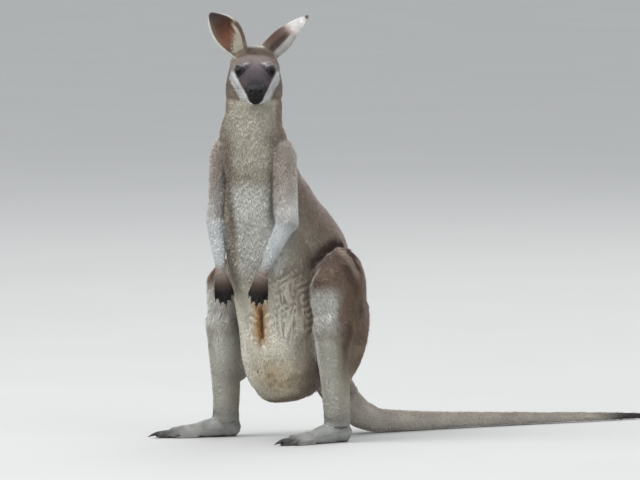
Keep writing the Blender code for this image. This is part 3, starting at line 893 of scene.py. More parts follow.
@dataclass
class Face:
    """The folds of the face, cut into the skin: lids, nostrils, lips and nose pad.

    Attributes:
        skin: The skin that is shaped.
    """

    skin: WallabySkin

    def sculpt(self) -> None:
        """Shapes the whole face."""
        self.set_muzzle()
        for side in (1, -1):
            self.set_lids(side)
        self.skin.refresh()

    def set_lids(self, side: int) -> None:
        """Wraps the skin round one eyeball as lids and drops it behind the ball inside them.

        Args:
            side: 1 for the left eye and -1 for the right.
        """
        skin = self.skin
        ring, high, _ = eye_ring(skin.head, side, skin.points)
        away = (skin.points - skin.head.eyes[side]) / MM
        reach = np.linalg.norm(away, axis=1)
        brow = 0.9 * bump(ring, 1.38, 0.2) * ramp(-2, 5, high)
        lidded = EYE.ball + EYE.lid + brow
        outside = lidded + np.maximum(reach - lidded, 0) * ramp(1.12, 1.75, ring)
        target = np.where(ring < 0.98, EYE.ball - 2.0, outside)
        near = (reach < 19) & (ring < 2.0)
        new = skin.head.eyes[side] + away * (target / np.maximum(reach, 1e-6))[:, None] * MM
        skin.points = np.where(near[:, None], new, skin.points)

    def set_muzzle(self) -> None:
        """Nose pad, nostrils, the groove under the nose, and the line of the mouth."""
        skin = self.skin
        head = skin.head
        ahead, left, up = head.measure(skin.points)
        aside = np.abs(left)
        front = ramp(48, 58, ahead)
        pad = ramp(17.5, 14.0, aside) * ramp(-18, -14.5, up) * ramp(5, 1, up) * front
        wing = bump(aside, 12.0, 3.6) * bump(up, -2.5, 5.0) * front
        hole = bump(aside, 10.4, 2.9) * bump(up, -7.5 + (aside - 10.4) * 0.55, 2.0) * front
        under = bump(up, -17.5, 1.6) * ramp(15, 11, aside) * front
        groove = bump(left, 0.0, 1.2) * ramp(-25, -20, up) * ramp(-2, -6, up) * front
        lip = mouth_line(ahead)
        mouth = bump(up, lip, 1.3) * ramp(17, 26, ahead)
        above = bump(up, lip + 4.6, 3.6) * ramp(20, 34, ahead)
        chin = bump(up, lip - 6.0, 4.5) * front
        move = pad * 0.5 + wing * 1.2 - hole * 4.2 - under * 0.8 - groove * 1.3
        move += above * 1.0 - mouth * (0.9 + 1.0 * ramp(16, 11, aside)) - chin * 1.2
        skin.points += skin.normals * (move * skin.share[Region.HEAD] * MM)[:, None]


@dataclass
class Body:
    """The larger folds of the body: groins, flank ripples, the pouch and its mouth.

    Attributes:
        skin: The skin that is shaped.
        mouth: Height of the pouch's mouth in metres.
        ripple: From one ripple of the flank to the next, in metres.
        ripple_height: How far the ripples stand out, in millimetres.
        groin: How deep the groins are, in millimetres.
    """

    skin: WallabySkin
    mouth: float = 0.236
    ripple: float = 0.0110
    ripple_height: float = 1.4
    groin: float = 2.4

    def sculpt(self) -> None:
        """Shapes the pouch's mouth, ripples, puckers, groins and wrists, and parts the toes."""
        skin = self.skin
        z = skin.points[:, 2]
        across = skin.across
        facing = skin.facing
        trunk = skin.soft[Region.TRUNK]
        belly = ramp(0.1, 0.6, facing) * trunk
        slit = bump(across, 0.0, 0.0032) * ramp(0.190, 0.205, z) * ramp(0.272, 0.255, z) * belly
        lips = bump(np.abs(across), 0.0085, 0.005) * ramp(0.190, 0.205, z) * ramp(0.272, 0.250, z) * belly
        move = lips * 1.2 - slit * 5.0
        slant = z * 0.80 - across * 0.60
        side = ramp(0.010, 0.035, across) * ramp(0.18, 0.23, z) * ramp(0.37, 0.32, z) * trunk
        side = side * ramp(-0.3, 0.2, facing)
        ripple = np.sin(2 * math.pi * slant / self.ripple + 0.12 * wave(skin.points, 3, 0.07))
        skin.ripples = (ripple, side)
        move += side * self.ripple_height * ripple
        spoke = np.arctan2(z - self.mouth, np.abs(across) + 0.004)
        away = np.hypot(across, z - self.mouth)
        ring = ramp(0.007, 0.012, away) * ramp(0.045, 0.026, away)
        move += ring * belly * 1.4 * np.sin(11 * spoke)
        low = ramp(0.17, 0.13, z) * ramp(0.02, 0.05, np.abs(across)) * trunk
        move += low * 0.9 * np.sin(2 * math.pi * (z + across * 0.5) / 0.016)
        thigh = skin.soft[Region.THIGH]
        move -= np.clip(4 * thigh * trunk, 0, 1) * self.groin
        move += 1.0 * wave(skin.points, 8, 0.09) * (trunk + thigh)
        lower = skin.soft[Region.FOREARM] + skin.soft[Region.HAND]
        move += lower * (1.2 * bump(z, 0.304, 0.016) - 2.6 * bump(z, 0.348, 0.020))
        skin.points += skin.normals * (move * MM)[:, None]
        for limb, length, wide, deep in (("hand", 20.0, 1.5, 2.0), ("foot", 26.0, 2.0, 2.0)):
            for side in "lr":
                self.part_toes(limb, side, length, wide, deep)
        skin.refresh()

    def part_toes(self, limb: str, side: str, length: float, wide: float, deep: float) -> None:
        """Cuts grooves between the fingers or toes of one limb.

        Args:
            limb: Hand or foot.
            side: Its side's letter.
            length: How far the grooves run back from the claws, in millimetres.
            wide: Their half-width in millimetres.
            deep: Their depth in millimetres.
        """
        skin = self.skin
        names = [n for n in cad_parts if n.startswith(f"claw_{limb}_{side}")]
        tips = np.array([middle(n) for n in names])
        palm = middle(f"{limb}_{side}")
        way = unit(tips.mean(0) - palm)
        spread = np.linalg.svd(tips - tips.mean(0))[2][0]
        tips = tips[np.argsort(tips @ spread)]
        move = np.zeros(len(skin.points))
        for first, second in zip(tips, tips[1:]):
            gap = (first + second) / 2
            across = unit(second - first)
            across = unit(across - way * (across @ way))
            away = (skin.points - gap) / MM
            along = away @ way
            move -= bump(away @ across, 0, wide) * ramp(-length, -length * 0.6, along) * (along < 12)
        mine = skin.of_node(f"{limb}_{side}")
        skin.points += skin.normals * (np.maximum(move, -1) * deep * mine * MM)[:, None]


# ---- Markings -------------------------------------------------------------------------


def near_path(points: Array, path: Sequence[tuple[float, float, float]], half: float,
              over: float = 6.0) -> Array:
    """How near points are to a path: 1 by it and a third at half a width away.

    Args:
        points: Rows of places in millimetres.
        path: The path's corners.
        half: Half the width of the stroke.
        over: How far the path may lie over the skin.

    Returns:
        One value for each point.
    """
    corners = np.array(path, float)
    best = np.full(len(points), np.inf)
    for start, end in zip(corners, corners[1:]):
        way = end - start
        share = np.clip((points - start) @ way / (way @ way), 0, 1)
        best = np.minimum(best, np.linalg.norm(points - start - share[:, None] * way, axis=1))
    return bump(np.maximum(best - over, 0.0), 0.0, half)


# Strokes on a thigh: their paths in millimetres outward from its middle, back from its front and
# above the floor, then half-width, colour and strength.
HIP_MARKS = (
    (((-5, 13, 353), (-6, 44, 375), (-12, 83, 390), (-18, 109, 385)), 6.5, "#463129", 0.92),
    (((-18, 109, 385), (9, 98, 377), (26, 95, 361), (35, 98, 339)), 6.0, "#463129", 0.88),
    (((12, 76, 372), (28, 84, 357), (38, 92, 334)), 3.5, "#c4b5a2", 0.60),
    (((38, 62, 346), (46, 74, 322), (42, 88, 306)), 7.0, "#4f3c33", 0.60),
    (((40, 108, 272), (38, 116, 258)), 4.0, "#3a2a23", 0.70),
    (((48, 66, 236), (46, 68, 214)), 3.5, "#503d31", 0.65),
    (((47, 52, 196), (46, 60, 176)), 3.5, "#503d31", 0.55),
)


# Small patches on the head: their place in the head's millimetres, their half-width and colour.
HEAD_TUFTS = (
    ((-52, -43, 6), 7.0, "#c9c3ae"),
    ((-46, -34, 15), 7.0, "#a58f74"),
    ((-56, 40, 10), 7.0, "#c4c2bb"),
    ((-62, -17, 24), 6.0, "#4b392f"),
)


@dataclass
class Markings:
    """The colours of skin and coat, from landmarks of the body, with painted shade in creases and painted
    highlights by the eyes.

    Attributes:
        skin: The skin that carries them.
    """

    skin: WallabySkin

    def paint(self) -> None:
        """Stores tint, bare and grizzle on the skin."""
        skin = self.skin
        self.points, self.normals = skin.points, skin.normals
        self.z = self.points[:, 2]
        self.across, self.facing = skin.across, skin.facing
        self.tint = np.tile(shade("#88796a"), (len(self.z), 1))
        for part in (self.body, self.limbs, self.neck, self.face, self.ears):
            part()
        mottle = 1 + 0.07 * wave(self.points, 21, 0.05) + 0.05 * wave(self.points, 22, 0.018)
        tint = np.clip(self.tint * mottle[:, None], 0.0, 1.0)
        grizzle = 0.09 + 0.12 * (skin.soft[Region.UPPER_ARM] + skin.soft[Region.NECK])
        grizzle += 0.08 * skin.soft[Region.TRUNK] + 0.07 * skin.soft[Region.THIGH]
        colour = np.concatenate([tint, np.ones((len(tint), 1))], 1)
        store(skin.piece.data, "tint", "FLOAT_COLOR", colour)
        store(skin.piece.data, "bare", "FLOAT", self.bare)
        store(skin.piece.data, "grizzle", "FLOAT", np.clip(grizzle, 0, 1))

    def lay(self, mask: Array, colour: str | Array) -> None:
        """Lays a colour over the markings where mask is high."""
        self.tint = blend_in(self.tint, mask, colour)

    def body(self) -> None:
        """Back, flanks, chest, belly and pouch, with painted shade between chest and arms, in the ripples'
        troughs, in the groins and on the underside.
        """
        z, across, facing = self.z, self.across, self.facing
        trunk = self.skin.soft[Region.TRUNK] + self.skin.soft[Region.NECK]
        torso = ramp(0.3, 0.7, trunk)
        ahead_side = ramp(0.2, 0.6, facing) * torso
        self.lay(torso * ramp(0.35, -0.35, facing), "#aea09c")
        self.lay(torso * ramp(0.15, 0.65, facing), "#a39a8c")
        pale = ramp(0.40, 0.85, facing) * torso
        self.lay(pale * ramp(0.064, 0.040, np.abs(across)), "#bfb9aa")
        low = pale * ramp(0.31, 0.24, z) * ramp(0.095, 0.070, np.abs(across))
        self.lay(low * 0.9, "#e2decf")
        shoulder = bump(np.abs(across), 0.047, 0.014) * ramp(0.46, 0.50, z) * ramp(0.63, 0.59, z)
        self.lay(shoulder * ahead_side * 0.8, "#857566")
        middle_line = np.interp(z, (0.34, 0.42, 0.52), (-0.004, -0.010, -0.010))
        chest = ramp(0.050, 0.041, np.abs(across - middle_line))
        chest *= ramp(0.325, 0.350, z) * ramp(0.517, 0.503, z)
        self.lay(chest * ahead_side * 0.95, "#cdccc5")
        # Painted shade in the gaps between the chest and the upper arms.
        gap = bump(np.abs(across - middle_line), 0.052, 0.008) * ramp(0.38, 0.43, z) * ramp(0.53, 0.51, z)
        self.lay(gap * ahead_side * 0.6, "#5c5045")
        band = bump(z, 0.522, 0.012) * ramp(0.055, 0.035, np.abs(across))
        self.lay(band * ahead_side * 0.6, "#978c7a")
        side = ahead_side * ramp(0.030, 0.062, across)
        self.lay(side * ramp(0.52, 0.46, z) * 0.35, "#94897b")
        ripple, share = self.skin.ripples
        # Painted shade in the troughs of the flank's ripples, where the fur parts.
        self.lay(share * ramp(0.2, -0.9, ripple) * 0.55, "#564c40")
        # Painted shade in the creases where the thighs meet the trunk.
        groin = np.clip(5 * self.skin.soft[Region.THIGH] * self.skin.soft[Region.TRUNK], 0, 1)
        self.lay(groin * ramp(0.34, 0.31, z) * ramp(-0.3, 0.1, facing) * 0.5, "#544b42")
        self.pouch(ahead_side)
        # Painted shade on the trunk's downward-facing underside near the floor.
        under = ramp(0.105, 0.075, z) * torso * ramp(0.0, -0.4, self.normals[:, 2])
        self.lay(under * 0.8, "#86765a")
        rump = ramp(0.0, -0.5, facing) * ramp(0.34, 0.24, z) * torso
        self.lay(rump * 0.4, "#8a7a70")

    def pouch(self, ahead_side: Array) -> None:
        """The rust of the pouch's mouth and the curly yellowish patch under it.

        Args:
            ahead_side: How far each vertex lies on the front of the trunk, from 0 to 1.
        """
        z, across = self.z, self.across
        rust = bump(across, -0.004, 0.017) * ramp(0.180, 0.220, z) * ramp(0.295, 0.265, z)
        self.lay(rust * ahead_side * 0.85, "#b8935d")
        slit = bump(across, -0.002, 0.0095) * ramp(0.188, 0.208, z) * ramp(0.285, 0.262, z)
        self.lay(slit * ahead_side * 0.9, "#97642c")
        core = bump(across, 0.0, 0.0040) * ramp(0.198, 0.212, z) * ramp(0.270, 0.256, z)
        self.lay(core * ahead_side, "#4d2a10")
        patch = bump(z, 0.130, 0.034) * bump(across, 0.014, 0.036)
        self.lay(patch * ahead_side * 0.75, "#ccb78f")
        curls = ramp(0.0, 0.7, wave(self.points, 61, 0.009))
        self.lay(patch * ahead_side * curls * 0.65, "#73603f")
        brown = bump(across, 0.058, 0.010) * bump(z, 0.100, 0.030)
        self.lay(brown * ahead_side * 0.6, "#7d6a4c")

    def limbs(self) -> None:
        """Legs, feet, arms, hands and tail, with painted shade along the seams between arms and trunk."""
        soft, z = self.skin.soft, self.z
        forward = -self.normals[:, 1]
        for side in "lr":
            self.leg(side, forward)
        self.lay(soft[Region.FOOT], "#aeafab")
        for side in "lr":
            foot = self.skin.of_node(f"foot_{side}")
            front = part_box(f"foot_{side}")[0].y
            toes = ramp(front + 0.045, front + 0.012, self.points[:, 1])
            spots = ramp(0.1, 0.8, wave(self.points, 31, 0.022))
            self.lay(foot * spots * 0.35, "#8a7866")
            self.lay(foot * toes * 0.8, "#433b37")
            self.lay(foot * ramp(-0.5, -0.9, self.normals[:, 2]), "#35302d")
        arm = soft[Region.UPPER_ARM]
        self.lay(arm, "#c4bbb2")
        self.lay(arm * ramp(0.54, 0.44, z) * 0.95, "#e2e1dd")
        self.lay(arm * ramp(0.3, 0.8, self.facing) * ramp(0.44, 0.50, z) * 0.45, "#95857a")
        # Painted shade along the seam between the upper arm and the trunk.
        arm_seam_shade = bump(self.skin.wide_arm, 0.42, 0.20) * ramp(0.40, 0.45, z) * ramp(0.57, 0.53, z)
        self.lay(arm_seam_shade * ramp(-0.2, 0.4, self.facing) * 0.8, "#4c4037")
        lower = soft[Region.FOREARM] + soft[Region.HAND]
        self.lay(lower, "#d5d8d8")
        rear = ramp(0.1, 0.7, self.normals[:, 1])
        self.lay(lower * rear * 0.6, "#9b948b")
        for start, end, strength, code in ((0.362, 0.334, 0.9, "#8f7d71"), (0.334, 0.310, 1.0, "#56453a"),
                                           (0.314, 0.297, 1.0, "#1f1715")):
            self.lay(lower * ramp(start, end, z) * strength, code)
        tail = soft[Region.TAIL]
        self.lay(tail, "#bab3a8")
        self.lay(tail * ramp(0.2, 0.7, self.normals[:, 2]) * 0.5, "#9b9084")
        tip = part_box("tail_tip")[1].y
        dark = ramp(tip - 0.16, tip - 0.06, self.points[:, 1])
        self.lay(tail * dark, "#2e2826")

    def leg(self, side: str, forward: Array) -> None:
        """One leg's brown thigh, pale front, the dark line over the hip and its small dark slits.

        Args:
            side: The leg's letter.
            forward: How far each vertex faces the front, from -1 to 1.
        """
        soft, z = self.skin.soft, self.z
        out = 1 if side == "l" else -1
        low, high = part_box(f"thigh_{side}")
        outward = (self.points[:, 0] - (low.x + high.x) / 2) * out
        back = self.points[:, 1] - low.y
        place = np.stack([outward, back, z], 1) / MM
        outer = ramp(-0.1, 0.5, self.normals[:, 0] * out)
        thigh = soft[Region.THIGH] * self.skin.of_node(f"thigh_{side}")
        self.lay(thigh, "#7f6a59")
        self.lay(thigh * ramp(0.32, 0.36, z) * 0.7, "#8b776e")
        rear = ramp(0.085, 0.150, back) * ramp(0.5, -0.1, forward)
        self.lay(thigh * rear * 0.7, "#93857c")
        front = ramp(0.062, 0.022, back) * ramp(0.320, 0.285, z) * ramp(-0.2, 0.4, forward)
        self.lay(thigh * front * 0.95, "#dcdbd4")
        self.lay(thigh * ramp(0.0, -0.5, self.normals[:, 0] * out) * 0.8, "#dad6cc")
        shin = soft[Region.SHIN] * self.skin.of_node(f"shin_{side}")
        self.lay(shin, "#bdb8aa")
        self.lay(shin * outer * ramp(0.09, 0.17, z) * ramp(0.35, -0.2, forward), "#826f5c")
        self.lay(shin * ramp(0.3, 0.8, forward) * 0.6, "#cbcbc2")
        inner = shin * ramp(0.1, -0.5, self.normals[:, 0] * out) * ramp(0.12, 0.18, z)
        self.lay(inner * 0.85, "#eae8df")
        for path, wide, code, strength in HIP_MARKS:
            self.lay(near_path(place, path, wide) * strength, code)

    def neck(self) -> None:
        """Throat, neck sides and nape."""
        under = ramp(-20, -42, self.skin.head.measure(self.points)[2]) * self.skin.soft[Region.HEAD]
        neck = np.clip(self.skin.soft[Region.NECK] + under, 0, 1)
        z = self.z
        self.lay(neck * ramp(0.6, 0.0, self.facing) * 0.8, "#988c80")
        throat = ramp(0.029, 0.017, np.abs(self.across)) * ramp(0.3, 0.7, self.facing)
        self.lay(throat * ramp(0.53, 0.56, z) * neck, "#c3bdae")
        self.lay(ramp(-0.2, -0.7, self.facing) * neck * 0.5, "#85766c")
        nape = ramp(0.0, -0.5, self.facing) * ramp(0.56, 0.68, z) * ramp(0.76, 0.72, z)
        self.lay(nape * 0.7, "#84776d")

    def face(self) -> None:
        """The head's markings, with a painted shadow band beside the white stripes and painted highlights
        above the eyes, and where its skin is bare.
        """
        skin = self.skin
        head = skin.share[Region.HEAD]
        ahead, left, up = skin.head.measure(self.points)
        high = skin.head.slant(self.points)
        aside = np.abs(left)
        mask = graded(high, ((-66, "#0a080a"), (-34, "#0d0b0f"), (-25, "#131015"), (-19, "#241f25"),
                             (-13, "#3b323a"), (-6, "#463e45"), (3, "#594f56"), (14, "#776c6f"),
                             (25, "#897d77"), (35, "#7a6a5d"), (50, "#665a52")))
        mask = blend_in(mask, bump(aside, 22, 7) * bump(high, -20, 9) * 0.6, "#54383f")
        top = head * ramp(-46, -34, up + 0.4 * np.minimum(ahead, 0) * -1)
        self.lay(top, "#83786c")
        within = np.interp(high, (-65, -63, -60, -56, -44, -31, -14, -2, 12, 60),
                           (-3, 4, 9, 13, 18.5, 25, 32.5, 38, 41, 41))
        without = np.interp(high, (-71, -68, -65, -61, -57, -52, -41, -30, -20, -10, -4, 0),
                            (0, 7, 12, 18, 24, 28, 32, 38, 44, 48, 50, 51))
        middle_part = ramp(1.5, -3.5, aside - within) * head * ramp(-60, -40, ahead)
        self.lay(middle_part, mask)
        cheek = head * ramp(26, 38, aside) * ramp(6, 16, high)
        self.lay(cheek * 0.6, "#97856f")
        line = bump(aside, np.interp(high, (-30, -12, 0, 12), (15, 20, 22, 18)), 4.0) * ramp(-40, -25, ahead)
        self.lay(head * line * ramp(-32, -24, high) * ramp(16, 8, high) * 0.55, "#43373b")
        shadow = bump(aside, without + 2.5, 3.5) * ramp(-66, -50, high) * ramp(-14, -26, high)
        self.lay(head * shadow * 0.45, "#6b5f4e")
        white = ramp(-1.0, 1.2, aside - within) * ramp(-1.2, 1.2, without - aside) * ramp(6, -3, high)
        self.lay(head * white * ramp(-40, -30, ahead), "#d0d0d0")
        spot = bump(high, 36.0, 3.2) * bump(left, 0, 4.5)
        self.lay(head * spot * 0.9 * ramp(-60, -50, ahead), "#38281f")
        fleck = ramp(0.2, 0.9, wave(self.points * (1, 1, 0.4), 41, 0.012)) * bump(left, 0, 16)
        self.lay(head * fleck * ramp(26, 36, high) * 0.5, "#5f4b3d")
        ruff = ramp(46, 51, high) * ramp(24, 14, np.abs(left + 2)) * ramp(-20, -30, ahead)
        self.lay(head * ruff * 0.95, "#d6d4cc")
        for place, wide, code in HEAD_TUFTS:
            near = bump(np.linalg.norm(self.points - skin.head.place(*place), axis=1) / MM, 0.0, wide)
            self.lay(near * head * 0.85, code)
        pad = ramp(50, 57, ahead) * ramp(-19, -16, up) * ramp(6, 2, up) * ramp(18, 15, aside)
        self.lay(head * pad, "#08080c")
        lips = bump(up, mouth_line(ahead), 1.9) * ramp(46, 56, ahead) * ramp(16, 12, aside)
        self.lay(head * lips, "#0d0a0b")
        rims = np.zeros(len(self.z))
        for side in (1, -1):
            ring, over, inward = eye_ring(skin.head, side, self.points)
            close = (np.linalg.norm(self.points - skin.head.eyes[side], axis=1) < 0.024) * head
            # Painted highlights: a pale arc of shine over the upper lid, and a glint above the eye.
            arc = bump(ring, 1.50, 0.14) * ramp(3, 8, over) * close
            self.lay(arc * 0.65, "#9a9698")
            glint = bump(inward, 8.0, 2.3) * bump(over, 10.6, 1.6) * close
            self.lay(glint * 0.85, "#c9c6c2")
            corner = bump(inward, 13.5, 2.6) * bump(over, 5.0, 5.5) * close
            self.lay(corner * 0.55, "#3a2e34")
            trail = bump(inward, -11.5, 3.2) * bump(over, 1.5, 2.0) * close
            self.lay(trail * 0.7, "#2b2325")
            self.lay(ramp(1.40, 1.14, ring) * close, "#141011")
            rims = np.maximum(rims, ramp(1.22, 1.06, ring) * close)
        self.bare = np.clip(np.maximum.reduce([head * pad, rims, head * lips * 0.6]), 0, 1)

    def ears(self) -> None:
        """Brown hollows with a cream fringe, and backs that go from brown to white to a dark tip."""
        skin = self.skin
        for ear in skin.ears:
            mine = skin.of_node("ear_l" if ear.side == 1 else "ear_r")
            share, edge = ear.measure(skin.head, self.points)
            _, hollow, side = ear.axes(skin.head)
            turned = np.clip(edge, -1, 1) * ear.half_turn(share)
            up_wall = hollow[None, :] * np.cos(turned)[:, None] - side[None, :] * np.sin(turned)[:, None]
            inside = ramp(-0.3, 0.3, np.sum(self.normals * up_wall, 1))
            back = graded(share, ((0.12, "#85776c"), (0.22, "#6b564a"), (0.34, "#5a453b"),
                                  (0.48, "#664f47"), (0.56, "#7d6961"), (0.62, "#b3a19b"),
                                  (0.68, "#d3d0cd"), (0.93, "#dad8d5"), (0.955, "#54463f"),
                                  (0.985, "#57483f"), (1.0, "#c8c5c0")))
            part = ramp(0.14, 0.24, share) * ramp(0.60, 0.50, share)
            back = blend_in(back, bump(edge, -0.36, 0.17) * part * 0.85, "#38291f")
            back = blend_in(back, ramp(-0.50, -0.60, edge) * ramp(0.70, 0.55, share) * 0.9, "#c0bfbb")
            if ear.side == 1:
                back = blend_in(back, ramp(0.45, 0.9, edge) * ramp(0.30, 0.42, share) * 0.5, "#b5a08f")
                back = blend_in(back, ramp(0.35, 0.7, edge) * ramp(0.34, 0.24, share) * 0.9, "#d2d0c9")
            cup = graded(share, ((0.10, "#33251d"), (0.20, "#4a372b"), (0.32, "#7d5646"), (0.46, "#77492f"),
                                 (0.58, "#50290e"), (0.72, "#432410"), (0.84, "#41322a"), (0.95, "#332b2b")))
            cup = blend_in(cup, bump(edge, -0.78, 0.24) * ramp(0.95, 0.8, share) * 0.5, "#85705f")
            cup = blend_in(cup, ramp(0.35, 0.75, edge) * ramp(0.60, 0.72, share) * 0.6, "#54443c")
            start = np.interp(share, (0.12, 0.20, 0.28, 0.38, 0.50, 0.60),
                              (-0.5, -0.5, -0.3, 0.03, 0.38, 0.6))
            streak = 0.16 * wave(self.points, 77, 0.006)
            cream = ramp(-0.14, 0.16, edge - start + streak) * ramp(0.66, 0.50, share)
            cup = blend_in(cup, cream * 0.9, "#bab5a4")
            fold = ramp(0.56, 0.64, edge) * ramp(0.62, 0.50, share)
            cup = blend_in(cup, fold * 0.95, "#4d3a30")
            cup = blend_in(cup, bump(edge, 0.56, 0.06) * ramp(0.36, 0.26, share) * 0.9, "#1d1613")
            cup = blend_in(cup, ramp(-0.84, -0.95, edge) * ramp(0.97, 0.85, share) * 0.8, "#ceccc2")
            cup = blend_in(cup, ramp(0.84, 0.95, edge) * ramp(0.52, 0.62, share) * 0.8, "#bfbbb0")
            self.lay(mine, blend_in(back, inside, cup))


# ---- The lie of the coat --------------------------------------------------------------


def near_ear(ear: Ear, skin: WallabySkin) -> Array:
    """Where the longer hair grows at the outer side of an ear's base and along its inner edge.

    Args:
        ear: The ear.
        skin: The skin that it is on.

    Returns:
        A share from 0 for each vertex.
    """
    share, edge = ear.measure(skin.head, skin.points)
    mine = skin.of_node("ear_l" if ear.side == 1 else "ear_r")
    inner = ramp(0.25, 0.5, edge) * ramp(0.62, 0.4, share) * mine
    spot = skin.head.place(*ear.base) - skin.head.left * 0.018 * -ear.side
    outer = bump(np.linalg.norm(skin.points - spot, axis=1), 0.0, 0.014) * skin.share[Region.HEAD]
    return inner * 0.6 + outer


# What the comb stores on the skin for the tufts.
COMBED = ("lie", "face_out", "hair_length", "hair_width", "hair_lift", "ruffle", "thickness", "grizzle")


@dataclass
class Lie:
    """Which way and how closely the hair lies, stored on the skin for the tufts.

    Attributes:
        skin: The skin that carries it.
        bare: Where no hair grows, from 0 to 1.
    """

    skin: WallabySkin
    bare: Array

    def comb(self) -> None:
        """Stores lie, hair length, width, lift, ruffle and thickness."""
        skin = self.skin
        way = np.zeros_like(skin.points)
        for name in skin.names:
            way += skin.of_node(name)[:, None] * self.grain(name)
        for _ in range(3):
            way = skin.net.spread(way, 8)
            way -= skin.normals * np.sum(way * skin.normals, 1)[:, None]
            way = unit(way)
        swirl = np.cross(skin.normals, way) * (0.22 * wave(skin.points, 5, 0.07))[:, None]
        way = unit(way + swirl)
        mesh = skin.piece.data
        store(mesh, "lie", "FLOAT_VECTOR", way)
        store(mesh, "face_out", "FLOAT_VECTOR", skin.normals)
        ahead = skin.head.measure(skin.points)[0]
        head = skin.share[Region.HEAD]
        short = 1 - 0.45 * head * ramp(-6, 30, ahead) - 0.25 * head * ramp(50, 58, ahead)
        facing = skin.facing
        belly = ramp(0.1, 0.5, facing) * skin.soft[Region.TRUNK] * ramp(0.35, 0.29, skin.points[:, 2])
        short *= (1 - 0.45 * belly) * (1 - 0.62 * skin.ripples[1])
        across = skin.across
        patch = bump(skin.points[:, 2], 0.132, 0.045) * bump(across, 0.01, 0.05)
        patch *= ramp(0.2, 0.7, facing) * skin.soft[Region.TRUNK]
        store(mesh, "hair_width", "FLOAT", skin.cut("width") * (1 - 0.25 * (1 - short)) * MM)
        store(mesh, "hair_lift", "FLOAT", np.radians(skin.cut("lift") * (0.6 + 0.4 * short) + 24 * patch))
        store(mesh, "ruffle", "FLOAT", skin.cut("ruffle") + 0.55 * patch)
        fringe = sum(near_ear(ear, skin) for ear in skin.ears)
        skin_length = skin.cut("length") * short * (1 + 1.6 * fringe)
        store(mesh, "hair_length", "FLOAT", skin_length * MM)
        spacing = skin.cut("spacing") * (1 - 0.22 * head * ramp(-6, 30, ahead))
        sole = ramp(-0.6, -0.9, skin.normals[:, 2]) * ramp(0.006, 0.002, skin.points[:, 2])
        grown = (1 - ramp(0.15, 0.6, self.bare)) * (1 - sole)
        store(mesh, "thickness", "FLOAT", grown / (spacing * MM) ** 2)

    def grain(self, name: str) -> Array:
        """The rough way the hair runs on one node, for each vertex.

        Args:
            name: The node's name.

        Returns:
            A row for each vertex.
        """
        skin = self.skin
        region = skin.flesh[name]
        count = len(skin.points)
        down = np.array((0.0, 0.0, -1.0))
        if region is Region.HEAD:
            ahead, _, up = skin.head.measure(skin.points)
            back = -skin.head.ahead[None, :] * ramp(-60, -10, ahead)[:, None]
            fall = down[None, :] * (0.25 + 1.2 * ramp(-10, -50, ahead) + 0.5 * ramp(0, -30, up))[:, None]
            return back + fall
        if region is Region.EAR:
            ear = next(e for e in skin.ears if (e.side == 1) == name.endswith("l"))
            return np.tile(ear.axes(skin.head)[0], (count, 1))
        if region is Region.TRUNK:
            back = ramp(0.3, -0.4, skin.facing)
            return down[None, :] + np.array((0.0, 0.45, 0.0))[None, :] * back[:, None]
        ways = {Region.NECK: down, Region.THIGH: np.array((0.0, 0.35, -1.0)), Region.SHIN: down}
        if region in ways:
            return np.tile(ways[region], (count, 1))
        if region is Region.TAIL:
            order = ("trunk", "tail_base", "tail_middle", "tail_end", "tail_tip")
            place = order.index(name)
            before = middle(order[place - 1]) if place > 1 else middle("tail_base")
            after = middle(order[place + 1]) if place < 4 else middle(name) * 2 - middle(order[3])
            return np.tile(unit(after - before), (count, 1))
        side = name[-1]
        if region is Region.FOOT:
            way = middle(f"claw_foot_{side}_fourth") - middle(f"shin_{side}")
            return np.tile(unit(way * (1, 1, 0)) + (0, 0, -0.25), (count, 1))
        ends = {Region.UPPER_ARM: ("upper_arm", "forearm"), Region.FOREARM: ("forearm", "hand"),
                Region.HAND: ("forearm", "hand")}[region]
        return np.tile(unit(middle(f"{ends[1]}_{side}") - middle(f"{ends[0]}_{side}")), (count, 1))


# ---- Finishes -------------------------------------------------------------------------


@dataclass(frozen=True)
class CoatFinish:
    """Short dry fur, each tuft paler towards its tip and a little different from the next.

    It gives the eye a soft, matt coat in which single locks still show.

    Attributes:
        name: The material's name.
        roughness: How matt the hair is.
        sheen: A faint velvet edge, as fine hair has.
        root: Brightness at a tuft's root against its tip.
    """

    name: str = "Wallaby fur, short guard hair"
    roughness: float = 0.82
    sheen: float = 0.10
    root: float = 0.80

    def material(self) -> bpy.types.Material:
        """Builds the material.

        Returns:
            The material.
        """
        made, tree, shader = new_material(self.name)
        tint = add_node(tree, "ShaderNodeAttribute", attribute_name="tint")
        along = add_node(tree, "ShaderNodeAttribute", attribute_name="along")
        chance = add_node(tree, "ShaderNodeAttribute", attribute_name="chance")
        level = add_node(tree, "ShaderNodeMapRange", {0: along.outputs["Fac"], 1: 0.0, 2: 0.8,
                                                      3: self.root, 4: 1.06})
        total = add_node(tree, "ShaderNodeMath", {0: level.outputs[0], 1: chance.outputs["Fac"]},
                         operation="MULTIPLY")
        colour = add_node(tree, "ShaderNodeVectorMath",
                          {0: tint.outputs["Color"], "Scale": total.outputs[0]}, operation="SCALE")
        fill(tree, shader, {"Base Color": colour.outputs[0], "Roughness": self.roughness,
                            "Sheen Weight": self.sheen, "Specular IOR Level": 0.25})
        return made


